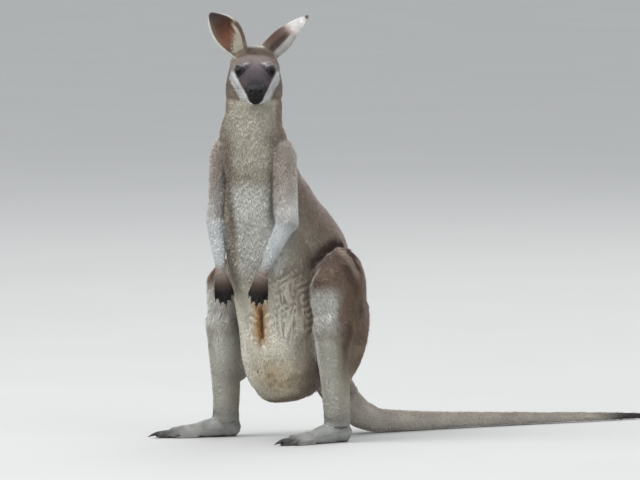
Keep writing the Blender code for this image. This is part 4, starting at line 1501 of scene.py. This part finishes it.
@dataclass(frozen=True)
class SkinFinish:
    """Skin under dense fur, and bare black skin on nose, lids and lips.

    It gives the eye a dull ground between the tufts and a moist, pebbled nose.

    Attributes:
        name: The material's name.
        furred: Roughness under the fur.
        wet: Roughness of the bare nose and lids.
        grain: Width of the underfur's grain in millimetres.
    """

    name: str = "Wallaby skin with underfur"
    furred: float = 0.85
    wet: float = 0.48
    grain: float = 1.4

    def material(self) -> bpy.types.Material:
        """Builds the material.

        Returns:
            The material.
        """
        made, tree, shader = new_material(self.name)
        place = add_node(tree, "ShaderNodeTexCoord")
        tint = add_node(tree, "ShaderNodeAttribute", attribute_name="tint")
        bare = add_node(tree, "ShaderNodeAttribute", attribute_name="bare")
        hairs = add_node(tree, "ShaderNodeTexNoise", {"Vector": place.outputs["Object"],
                                                      "Scale": 1 / (self.grain * MM), "Detail": 3.0})
        level = add_node(tree, "ShaderNodeMapRange", {0: hairs.outputs["Fac"], 1: 0.3, 2: 0.7,
                                                      3: 0.72, 4: 1.02})
        colour = add_node(tree, "ShaderNodeVectorMath",
                          {0: tint.outputs["Color"], "Scale": level.outputs[0]}, operation="SCALE")
        rough = add_node(tree, "ShaderNodeMapRange", {0: bare.outputs["Fac"], 1: 0.0, 2: 1.0,
                                                      3: self.furred, 4: self.wet})
        pores = add_node(tree, "ShaderNodeTexVoronoi", {"Vector": place.outputs["Object"],
                                                        "Scale": 1 / (0.9 * MM)})
        relief = add_node(tree, "ShaderNodeMix", {0: bare.outputs["Fac"], 2: hairs.outputs["Fac"],
                                                  3: pores.outputs["Distance"]}, data_type="FLOAT")
        bumped = add_node(tree, "ShaderNodeBump", {"Height": relief.outputs[0], "Strength": 0.35,
                                                   "Distance": 0.4 * MM})
        fill(tree, shader, {"Base Color": colour.outputs[0], "Roughness": rough.outputs[0],
                            "Normal": bumped.outputs[0], "Specular IOR Level": 0.3})
        return made


@dataclass(frozen=True)
class PlainFinish:
    """An even substance with faint streaks, such as horn, bare skin or paper.

    Attributes:
        name: The material's name.
        dark: Its colour.
        light: The colour of its streaks.
        roughness: How matt it is.
        grain: Width of its streaks in millimetres.
    """

    name: str
    dark: str
    light: str
    roughness: float
    grain: float

    def material(self) -> bpy.types.Material:
        """Builds the material.

        Returns:
            The material.
        """
        made, tree, shader = new_material(self.name)
        place = add_node(tree, "ShaderNodeTexCoord")
        streak = add_node(tree, "ShaderNodeTexNoise", {"Vector": place.outputs["Object"],
                                                       "Scale": 1 / (self.grain * MM), "Detail": 2.0})
        colour = add_node(tree, "ShaderNodeMix", {0: streak.outputs["Fac"], 6: linear(self.dark),
                                                  7: linear(self.light)}, data_type="RGBA")
        fill(tree, shader, {"Base Color": colour.outputs[2], "Roughness": self.roughness})
        return made


# ---- The coat -------------------------------------------------------------------------


@dataclass
class Tuft:
    """One closed sliver of hair along +X, a unit long and a unit wide, pointed at both ends.

    Attributes:
        belly: Where along it the sliver is widest.
        arch: How far its middle rises, as a share of its length.
        thick: Its thickness as a share of its width.
    """

    belly: float = 0.36
    arch: float = 0.06
    thick: float = 0.40

    def build(self) -> bpy.types.Object:
        """Makes the tuft as a hidden pattern piece.

        Returns:
            The pattern piece.
        """
        rise = self.arch
        rows = [(0.0, 0.0, 0.0), (self.belly, -0.5, rise), (self.belly, 0.5, rise),
                (self.belly, 0.0, rise + self.thick), (1.0, 0.0, -0.02)]
        faces = []
        root, tip = 0, 4
        for this, other in ((1, 2), (2, 3), (3, 1)):
            faces += [(root, other, this), (this, other, tip)]
        mesh = bpy.data.meshes.new("tuft")
        mesh.from_pydata(rows, [], faces)
        face_out(mesh)
        points = np.array(rows)
        store(mesh, "along", "FLOAT", points[:, 0])
        spot = np.stack([points[:, 0], points[:, 1] + 0.5, np.zeros(len(points))], 1)
        store(mesh, "spot", "FLOAT_VECTOR", spot)
        mesh.shade_smooth()
        pattern = new_piece("tuft_pattern", mesh)
        pattern.hide_render = True
        return pattern


# Coat pieces that cover whole nodes: the piece's name and how the nodes' names start.
WHOLE_LIMBS = (("arms", "upper_arm"), ("forearms", "forearm"), ("hands", "hand"), ("thigh_l", "thigh_l"),
               ("thigh_r", "thigh_r"), ("shins", "shin"), ("feet", "foot"), ("tail", "tail"))


@dataclass
class Coat:
    """The coat of mesh tufts, in one piece for each stretch of the body.

    Attributes:
        skin: The skin it grows on.
        patch: Width of a tuft's patch on the baked map.
        limit: The most triangles that one piece may have.
        floor_gap: Height that the lowest hair is pressed up to.
        elbow_room: The least distance between tufts, as a share of their spacing.
        seed: The first piece's seed.
        brow: How far ahead in the head's millimetres the face piece starts.
        waist: The height that parts chest from pouch and back from rump, in metres.
        front: How far a surface faces the front, from -1 to 1, to count as chest or pouch.
    """

    skin: WallabySkin
    patch: float = 0.003
    limit: int = 196_000
    floor_gap: float = 0.0003
    quick_share: float = 0.35
    elbow_room: float = 0.62
    seed: int = 7
    brow: float = -8.0
    waist: float = 0.36
    front: float = 0.25

    def build(self) -> list[bpy.types.Object]:
        """Makes every coat piece.

        Returns:
            The pieces.
        """
        self.pattern = Tuft().build()
        self.tree = self.growth()
        self.finish = CoatFinish().material()
        made = []
        for number, (name, faces) in enumerate(self.stretches().items()):
            guide = self.guide(name, faces)
            made.append(self.grow(name, guide, number))
        bpy.data.objects.remove(self.pattern, do_unlink=True)
        return made

    def stretches(self) -> dict[str, Array]:
        """Splits the skin's faces among the coat pieces.

        Returns:
            For each piece's name, True for each face of the skin that it grows on.
        """
        skin = self.skin
        mesh = skin.piece.data
        starts = rows_of(mesh.polygons, "loop_start", kind=np.int32)
        first = rows_of(mesh.loops, "vertex_index", kind=np.int32)[starts]
        owner = np.array(skin.names)[skin.owner[first]]
        points = skin.points[first]
        facing = skin.torso.facing(points, skin.normals[first])
        trunk = owner == "trunk"
        front = facing > self.front
        high = points[:, 2] > self.waist
        head = owner == "head"
        face = skin.head.measure(points)[0] > self.brow
        return {
            "coat_face": head & face,
            "coat_crown": head & ~face,
            "coat_ears": np.char.startswith(owner, "ear"),
            "coat_neck": owner == "neck",
            "coat_chest": trunk & front & high,
            "coat_pouch": trunk & front & ~high,
            "coat_back": trunk & ~front & high,
            "coat_rump": trunk & ~front & ~high,
        } | {f"coat_{name}": np.char.startswith(owner, node) for name, node in WHOLE_LIMBS}

    def guide(self, name: str, chosen: Array) -> bpy.types.Object:
        """A copy of some of the skin's faces, unwrapped.

        Args:
            name: The coat piece's name.
            chosen: True for each face to keep.

        Returns:
            The guide.
        """
        bm = bmesh.new()
        bm.from_mesh(self.skin.piece.data)
        bm.faces.ensure_lookup_table()
        drop = [bm.faces[i] for i in np.nonzero(~chosen)[0]]
        bmesh.ops.delete(bm, geom=drop, context="FACES")
        mesh = mesh_of(bm, name + "_guide")
        guide = new_piece(name + "_guide", mesh)
        mesh.uv_layers.new(name="unwrap")
        bpy.context.view_layer.objects.active = guide
        guide.select_set(True)
        bpy.ops.object.mode_set(mode="EDIT")
        bpy.ops.mesh.select_all(action="SELECT")
        bpy.ops.uv.smart_project(angle_limit=math.radians(66), island_margin=0.004)
        bpy.ops.object.mode_set(mode="OBJECT")
        guide.select_set(False)
        return guide

    def growth(self) -> bpy.types.NodeTree:
        """The Geometry Nodes tree that sets tufts on a guide.

        Returns:
            The tree.
        """
        tree = bpy.data.node_groups.new("tufts over a skin", "GeometryNodeTree")
        face = tree.interface
        face.new_socket("Guide", in_out="INPUT", socket_type="NodeSocketGeometry")
        for name, kind in (("Tuft", "Object"), ("Material", "Material"), ("Seed", "Int"),
                           ("Densest", "Float"), ("Nearest", "Float"), ("Patch", "Float")):
            face.new_socket(name, in_out="INPUT", socket_type="NodeSocket" + kind)
        face.new_socket("Coat", in_out="OUTPUT", socket_type="NodeSocketGeometry")
        enter = add_node(tree, "NodeGroupInput").outputs
        known = {name: enter[name] for name in ("Seed", "Densest", "Nearest", "Patch")}
        for name in ("thickness", "hair_lift", "hair_length", "hair_width", "ruffle", "grizzle",
                     "lie", "face_out", "unwrap", "root", "spot"):
            kind = "FLOAT_VECTOR" if name in ("lie", "face_out", "unwrap", "root", "spot") else "FLOAT"
            node = add_node(tree, "GeometryNodeInputNamedAttribute", {"Name": name}, data_type=kind)
            known[name] = node.outputs["Attribute"]
        # A random number for each tuft: its name, its least and most, and what is added to the seed.
        for name, low, high, salt in (("lift luck", 0.55, 1.35, 3), ("length luck", 0.72, 1.18, 5),
                                      ("width luck", 0.75, 1.2, 7), ("tone luck", -1.0, 1.0, 9),
                                      ("stray luck", (-1, -1, -0.6), (1, 1, 0.6), 11)):
            seed = add_node(tree, "ShaderNodeMath", {0: enter["Seed"], 1: float(salt)}, operation="ADD")
            vector = isinstance(low, tuple)
            spread = {0: low, 1: high} if vector else {2: low, 3: high}
            node = add_node(tree, "FunctionNodeRandomValue", spread | {"Seed": seed.outputs[0]},
                            data_type="FLOAT_VECTOR" if vector else "FLOAT")
            known[name] = node.outputs[0 if vector else 1]
        # Sums: the result's name, what is done, and the two things it is done with.
        for name, kind, operation, first, second in (
                ("share", "Math", "DIVIDE", "thickness", "Densest"),
                ("lift", "Math", "MULTIPLY", "hair_lift", "lift luck"),
                ("level", "Math", "COSINE", "lift", 0.0),
                ("rise", "Math", "SINE", "lift", 0.0),
                ("flat", "VectorMath", "SCALE", "lie", "level"),
                ("raised", "VectorMath", "SCALE", "face_out", "rise"),
                ("stray", "VectorMath", "SCALE", "stray luck", "ruffle"),
                ("combed", "VectorMath", "ADD", "flat", "raised"),
                ("way", "VectorMath", "ADD", "combed", "stray"),
                ("long", "Math", "MULTIPLY", "hair_length", "length luck"),
                ("wide", "Math", "MULTIPLY", "hair_width", "width luck"),
                ("uneven", "Math", "MULTIPLY", "tone luck", "grizzle"),
                ("tone", "Math", "ADD", "uneven", 1.0),
                ("reach", "VectorMath", "SCALE", "spot", "Patch"),
                ("patch", "VectorMath", "ADD", "root", "reach")):
            node = add_node(tree, "ShaderNode" + kind,
                            {0: known[first], 3 if operation == "SCALE" else 1: known.get(second, second)},
                            operation=operation)
            known[name] = node.outputs[0]
        sown = add_node(tree, "GeometryNodeDistributePointsOnFaces",
                        {"Mesh": enter["Guide"], "Distance Min": known["Nearest"],
                         "Density Max": known["Densest"], "Density Factor": known["share"],
                         "Seed": known["Seed"]}, distribute_method="POISSON").outputs["Points"]
        turn = add_node(tree, "FunctionNodeAxesToRotation", {0: known["way"], 1: known["face_out"]},
                        primary_axis="X", secondary_axis="Z").outputs[0]
        size = add_node(tree, "ShaderNodeCombineXYZ",
                        {0: known["long"], 1: known["wide"], 2: known["wide"]}).outputs[0]
        tuft = add_node(tree, "GeometryNodeObjectInfo", {"Object": enter["Tuft"]}).outputs["Geometry"]
        grown = sown
        for name, value, kind in (("chance", "tone", "FLOAT"), ("root", "unwrap", "FLOAT_VECTOR")):
            grown = add_node(tree, "GeometryNodeStoreNamedAttribute",
                             {"Geometry": grown, "Name": name, "Value": known[value]},
                             data_type=kind, domain="POINT").outputs[0]
        grown = add_node(tree, "GeometryNodeInstanceOnPoints",
                         {"Points": grown, "Instance": tuft, "Rotation": turn, "Scale": size}).outputs[0]
        for name in (*COMBED, "bare", "unwrap"):
            grown = add_node(tree, "GeometryNodeRemoveAttribute",
                             {"Geometry": grown, "Name": name}).outputs[0]
        grown = add_node(tree, "GeometryNodeRealizeInstances", {"Geometry": grown}).outputs[0]
        grown = add_node(tree, "GeometryNodeStoreNamedAttribute",
                         {"Geometry": grown, "Name": "OFBake", "Value": known["patch"]},
                         data_type="FLOAT2", domain="CORNER").outputs[0]
        for name in ("root", "spot"):
            grown = add_node(tree, "GeometryNodeRemoveAttribute",
                             {"Geometry": grown, "Name": name}).outputs[0]
        dressed = add_node(tree, "GeometryNodeSetMaterial",
                           {"Geometry": grown, "Material": enter["Material"]}).outputs[0]
        add_node(tree, "NodeGroupOutput", {0: dressed})
        return tree

    def grow(self, name: str, guide: bpy.types.Object, number: int) -> bpy.types.Object:
        """Grows one piece of coat on its guide.

        Args:
            name: The piece's name.
            guide: The unwrapped faces that it grows on.
            number: Sets the piece's seed.

        Returns:
            The finished piece.
        """
        thickness = rows_of(guide.data.attributes["thickness"].data, "value")
        densest = float(thickness.max()) * 1.0
        values = {"Tuft": self.pattern, "Material": self.finish, "Seed": number * 101 + self.seed,
                  "Densest": densest, "Nearest": self.elbow_room / math.sqrt(densest),
                  "Patch": self.patch}
        grower = guide.modifiers.new("Tufts", "NODES")
        grower.node_group = self.tree
        for item in self.tree.interface.items_tree:
            if item.in_out == "INPUT" and item.name in values:
                grower[item.identifier] = values[item.name]
        settle(guide)
        mesh = guide.data
        points = mesh_points(mesh)
        points[:, 2] = np.maximum(points[:, 2], self.floor_gap)
        set_points(mesh, points)
        guide.name = mesh.name = name
        count = sum(len(p.vertices) - 2 for p in mesh.polygons)
        LOG.info("%s: %d triangles", name, count)
        if count > self.limit:
            LOG.warning("%s is over %d triangles", name, self.limit)
        return guide


# ---- Eyes, claws and whiskers ---------------------------------------------------------


def tube(bm: bmesh.types.BMesh, path: Sequence[Array], radii: Sequence[float], corners: int,
         closed: bool = False) -> None:
    """Adds a closed tube along a path.

    Args:
        bm: The mesh that gets it.
        path: The points it runs through.
        radii: Its radius at each point.
        corners: The number of its sides.
        closed: True for a ring that ends where it starts.
    """
    path_array = np.array(path)
    if closed:
        tangents = unit(np.roll(path_array, -1, 0) - np.roll(path_array, 1, 0))
    else:
        tangents = unit(np.gradient(path_array, axis=0))
    side = unit(np.cross(tangents[0], (0.31, 0.52, 0.79)))
    rings = []
    for at, tangent, radius in zip(path_array, tangents, radii):
        side = unit(side - tangent * (side @ tangent))
        up = np.cross(tangent, side)
        turns = np.linspace(0, 2 * math.pi, corners, endpoint=False)
        rings.append([bm.verts.new(at + (side * math.cos(t) + up * math.sin(t)) * radius) for t in turns])
    pairs = list(zip(rings, rings[1:])) + ([(rings[-1], rings[0])] if closed else [])
    for low, high in pairs:
        for j in range(corners):
            k = (j + 1) % corners
            bm.faces.new((low[j], low[k], high[k], high[j]))
    if not closed:
        bm.faces.new(rings[0][::-1])
        bm.faces.new(rings[-1])


@dataclass
class Eyes:
    """Two dark eyes with iris, pupil and a moist surface, and the black rims of their lids.

    Attributes:
        head: The head's axes.
        iris: Half-width of the iris in degrees of the ball.
    """

    head: Head
    iris: float = 46.0

    def build(self) -> list[bpy.types.Object]:
        """Makes both eyes and their rims.

        Returns:
            The pieces.
        """
        finish = self.material()
        # A dark, damp line that frames each eye.
        rim_finish = PlainFinish("Bare black lid skin, moist", "#120f10", "#241d1c", 0.42, 1.2).material()
        made = []
        for side, label in ((1, "l"), (-1, "r")):
            ball = self.ball(side, f"eyeball_{label}")
            ball.data.materials.append(finish)
            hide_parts(f"eye_{label}")
            rim = self.rim(side, f"eyelid_rim_{label}")
            rim.data.materials.append(rim_finish)
            made += [ball, rim]
        return made

    def ball(self, side: int, name: str) -> bpy.types.Object:
        """One eyeball with its cornea; "gaze" holds each point's angle off the gaze.

        Args:
            side: 1 for the left eye and -1 for the right.
            name: The piece's name.

        Returns:
            The eyeball.
        """
        bm = bmesh.new()
        bmesh.ops.create_icosphere(bm, subdivisions=5, radius=1.0)
        mesh = mesh_of(bm, name)
        gaze, inner, up = eye_axes(self.head, side)
        points = mesh_points(mesh)
        turned = points[:, :1] * inner + points[:, 1:2] * up + points[:, 2:] * gaze
        angle = np.degrees(np.arccos(np.clip(points[:, 2], -1, 1)))
        reach = EYE.ball + EYE.cornea * ramp(self.iris, 0, angle)
        set_points(mesh, self.head.eyes[side] + turned * reach[:, None] * MM)
        across = np.degrees(np.arctan2(points[:, 0], points[:, 2]))
        upward = np.degrees(np.arctan2(points[:, 1], points[:, 2]))
        store(mesh, "gaze", "FLOAT", angle / 90)
        pupil = np.hypot(across / 19, upward / 14) + 10 * (points[:, 2] < 0)
        store(mesh, "pupil", "FLOAT", pupil)
        face_out(mesh)
        mesh.shade_smooth()
        return new_piece(name, mesh)

    def rim(self, side: int, name: str) -> bpy.types.Object:
        """The black rim round the lids' opening.

        Args:
            side: 1 for the left eye and -1 for the right.
            name: The piece's name.

        Returns:
            The rim.
        """
        gaze, inner, up = eye_axes(self.head, side)
        path = []
        radii = []
        for turn in np.linspace(0, 2 * math.pi, 72, endpoint=False):
            edge = float(lid_edge(np.array(math.cos(turn)), np.array(math.sin(turn))))
            x, y = edge * math.cos(turn), edge * math.sin(turn)
            reach = EYE.ball + 0.30
            z = math.sqrt(reach**2 - x * x - y * y)
            path.append(self.head.eyes[side] + (inner * x + up * y + gaze * z) * MM)
            radii.append((0.55 + 0.35 * max(0.0, math.sin(turn)) + 0.25 * math.cos(turn) ** 8) * MM)
        bm = bmesh.new()
        tube(bm, path, radii, 8, closed=True)
        return smooth_piece(bm, name)

    def material(self) -> bpy.types.Material:
        """A dark brown iris round a black pupil, under a film of tears that gives one sharp glint.

        Returns:
            The material.
        """
        made, tree, shader = new_material("Eye, dark brown iris under a wet cornea")
        gaze = add_node(tree, "ShaderNodeAttribute", attribute_name="gaze").outputs["Fac"]
        pupil = add_node(tree, "ShaderNodeAttribute", attribute_name="pupil").outputs["Fac"]
        place = add_node(tree, "ShaderNodeTexCoord").outputs["Object"]
        fibres = add_node(tree, "ShaderNodeTexNoise", {"Vector": place, "Scale": 900.0, "Detail": 3.0})
        hole = add_node(tree, "ShaderNodeMapRange", {0: pupil, 1: 0.9, 2: 1.1, 3: 0.0, 4: 1.0}).outputs[0]
        edge = add_node(tree, "ShaderNodeMapRange", {0: gaze, 1: self.iris / 90 - 0.03,
                                                     2: self.iris / 90 + 0.05, 3: 0.0, 4: 1.0}).outputs[0]
        # From the iris's dark fibres, over the black of the pupil, to the ball round them.
        whole = linear("#120a07")
        for share, first, second in ((fibres.outputs["Fac"], "#080504", None), (hole, "#030202", None),
                                     (edge, None, "#0c0909")):
            ends = {6: linear(first) if first else whole, 7: linear(second) if second else whole}
            whole = add_node(tree, "ShaderNodeMix", {0: share} | ends, data_type="RGBA").outputs[2]
        fill(tree, shader, {"Base Color": whole, "Roughness": 0.25, "Specular IOR Level": 0.08,
                            "Coat Weight": 0.22, "Coat IOR": 1.36, "Coat Roughness": 0.02})
        return made


@dataclass
class Claws:
    """Smooth dark claws in place of the frame's plain ones, joined for each hand and foot."""

    def build(self) -> list[bpy.types.Object]:
        """Makes the claws of both hands and both feet.

        Returns:
            The pieces.
        """
        # Smooth dark horn that catches small highlights.
        horn = PlainFinish("Claw horn, near black", "#171315", "#332b28", 0.34, 1.1).material()
        made = []
        for limb in ("hand", "foot"):
            for side in "lr":
                names = sorted(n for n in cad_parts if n.startswith(f"claw_{limb}_{side}"))
                piece = self.joined(f"claws_{limb}_{side}", names)
                piece.data.materials.append(horn)
                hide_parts(*names)
                made.append(piece)
        return made

    def joined(self, name: str, nodes: Iterable[str]) -> bpy.types.Object:
        """Copies of some claws, merged, rounded and joined.

        Args:
            name: The piece's name.
            nodes: The frame's claws that it stands for.

        Returns:
            The piece.
        """
        whole = bmesh.new()
        for node in nodes:
            whole.from_mesh(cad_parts[node].data)
        bmesh.ops.remove_doubles(whole, verts=whole.verts, dist=1e-6)
        piece = new_piece(name, mesh_of(whole, name))
        rounder = piece.modifiers.new("Round", "SUBSURF")
        rounder.levels = 2
        rounder.render_levels = 2
        settle(piece)
        piece.data.shade_smooth()
        return piece


@dataclass
class Whiskers:
    """Fine whiskers on the lips and over the eyes.

    Attributes:
        skin: The skin they root in.
        radius: Their radius at the root in millimetres.
    """

    skin: WallabySkin
    radius: float = 0.16

    def build(self) -> list[bpy.types.Object]:
        """Makes all whiskers as one piece.

        Returns:
            The one piece, in a list.
        """
        head = self.skin.head
        tree = BVHTree.FromObject(self.skin.piece, bpy.context.evaluated_depsgraph_get())
        chance = np.random.default_rng(12)
        bm = bmesh.new()
        beds = [(56 - 8 * i, 9 + 2.2 * i, -14 - 3.6 * j, 22 + 5 * i) for i in range(4) for j in range(3)]
        beds += [(2.0, 27.0, 14.0, 18.0), (-1.0, 29.0, 13.0, 20.0), (4.0, 25.0, 13.0, 16.0)]
        for side in (1, -1):
            for ahead, aside, up, length in beds:
                start = head.place(ahead, side * (aside + 25), up)
                hit = tree.ray_cast(Vector(start), Vector(-head.left * side))
                if hit[0] is None:
                    continue
                root = np.array(hit[0])
                out = unit(np.array(hit[1]) * 0.9 - head.ahead * 0.5 + chance.normal(size=3) * 0.12)
                bend = -head.ahead * 0.25 + np.array((0, 0, -0.35))
                steps = np.linspace(0, 1, 6)
                size = length * chance.uniform(0.8, 1.1) * MM
                path = [root + out * size * t + bend * size * 0.5 * t * t for t in steps]
                tube(bm, path, [self.radius * MM * (1 - 0.8 * t) for t in steps], 4)
        piece = smooth_piece(bm, "whiskers")
        # Thin dark lines with a faint gleam.
        hair = PlainFinish("Whisker hair, dark", "#2a2422", "#4a423c", 0.5, 3.0).material()
        piece.data.materials.append(hair)
        return [piece]


# ---- The studio -----------------------------------------------------------------------


@dataclass
class Studio:
    """A pale floor, soft lights all round and the camera.

    Attributes:
        azimuth: The camera's bearing in degrees; 0 looks along +Y.
        elevation: The camera's height above the horizon in degrees.
        distance: From camera to target in metres.
        across: Width of the picture at the target in metres.
        target: What the camera looks at.
    """

    azimuth: float = 45.0
    elevation: float = 3.75
    distance: float = 18.0
    across: float = 1.248
    target: tuple[float, float, float] = (0.0697, -0.3011, 0.391)

    def build(self) -> None:
        """Sets up floor, lights, world and camera."""
        self.floor()
        self.lights()
        self.camera()
        bpy.context.scene.view_settings.view_transform = "Standard"

    def back(self, azimuth: float, elevation: float) -> Vector:
        """The way from the target to a place at a bearing and height.

        Args:
            azimuth: The bearing in degrees.
            elevation: The height above the horizon in degrees.

        Returns:
            A unit vector.
        """
        bearing, height = math.radians(azimuth), math.radians(elevation)
        level = math.cos(height)
        return Vector((math.sin(bearing) * level, -math.cos(bearing) * level, math.sin(height)))

    def aim(self, thing: bpy.types.Object, azimuth: float, elevation: float, away: float) -> None:
        """Links a lamp or camera and points it at the target.

        Args:
            thing: The lamp or camera.
            azimuth: Its bearing in degrees.
            elevation: Its height above the horizon in degrees.
            away: Its distance from the target in metres.
        """
        way = self.back(azimuth, elevation)
        thing.location = Vector(self.target) + way * away
        thing.rotation_euler = (-way).to_track_quat("-Z", "Y").to_euler()
        bpy.context.scene.collection.objects.link(thing)

    def floor(self) -> None:
        """A wide pale floor just under the soles."""
        bm = bmesh.new()
        bmesh.ops.create_circle(bm, cap_ends=True, segments=96, radius=200.0)
        floor = new_piece("studio_floor", mesh_of(bm, "studio_floor"))
        # A pale, matt, faintly clouded ground, so that only soft shadows show.
        paper = PlainFinish("Matt pale studio paper", "#a6a6a4", "#ababa9", 0.95, 500.0)
        floor.data.materials.append(paper.material())

    def lights(self) -> None:
        """An overcast sky, one large soft key from the left and a weaker fill."""
        world = bpy.data.worlds.new("overcast")
        bpy.context.scene.world = world
        world.use_nodes = True
        sky = world.node_tree.nodes["Background"]
        sky.inputs["Color"].default_value = (0.93, 0.96, 1.0, 1.0)
        sky.inputs["Strength"].default_value = 1.02
        rows = (("key", -18.0, 44.0, 7.0, 4.4, 440.0), ("fill", 95.0, 30.0, 7.0, 5.0, 95.0),
                ("top", 45.0, 82.0, 7.0, 6.0, 130.0), ("rear", 200.0, 40.0, 7.0, 5.0, 150.0))
        for name, azimuth, elevation, away, size, power in rows:
            lamp = bpy.data.lights.new(name, "AREA")
            lamp.shape = "DISK"
            lamp.size = size
            lamp.energy = power
            holder = bpy.data.objects.new(name, lamp)
            holder.visible_camera = False
            self.aim(holder, azimuth, elevation, away)

    def camera(self) -> None:
        """A long lens at the height of the animal's chest."""
        data = bpy.data.cameras.new("camera")
        data.sensor_width = 36.0
        data.lens = data.sensor_width * self.distance / self.across
        data.clip_end = 200.0
        camera = bpy.data.objects.new("camera", data)
        self.aim(camera, self.azimuth, self.elevation, self.distance)
        bpy.context.scene.camera = camera


# ---- All together ---------------------------------------------------------------------

EARS = (
    Ear(-1, (-59.1, -28.9, 12.8), (-110.9, -86.4, 70.3), (0.60, -0.80, 0.0), 6.5, 0.05),
    Ear(1, (-65.0, 17.1, 16.6), (-103.1, 103.0, 68.4), (-0.035, 0.81, -0.50), 9.0, 0.38),
)


def ride_all(pieces: Iterable[bpy.types.Object]) -> None:
    """Lets pieces ride on the one body.

    Args:
        pieces: The pieces.
    """
    for piece in pieces:
        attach(piece, "root")


def main() -> None:
    """Builds the wallaby's looks in order."""
    logging.basicConfig(level=logging.INFO, format="%(message)s")
    head = Head()
    skin = WallabySkin(head, EARS)
    body = skin.build()
    LOG.info("skin: %d vertices, %d faces", len(body.data.vertices), len(body.data.polygons))
    markings = Markings(skin)
    markings.paint()
    Lie(skin, markings.bare).comb()
    body.data.materials.append(SkinFinish().material())
    whiskers = Whiskers(skin).build()
    coat = Coat(skin).build()
    for name in COMBED:
        body.data.attributes.remove(body.data.attributes[name])
    ride_all([body])
    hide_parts(*skin.flesh)
    for piece in coat:
        ride_all([piece])
    eyes = Eyes(head).build()
    ride_all(eyes)
    claws = Claws().build()
    ride_all(claws)
    ride_all(whiskers)
    Studio().build()
    for piece in [body, *coat, *eyes, *claws, *whiskers]:
        LOG.info("%s: %d faces", piece.name, len(piece.data.polygons))
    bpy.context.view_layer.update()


if __name__ == "__main__":
    main()
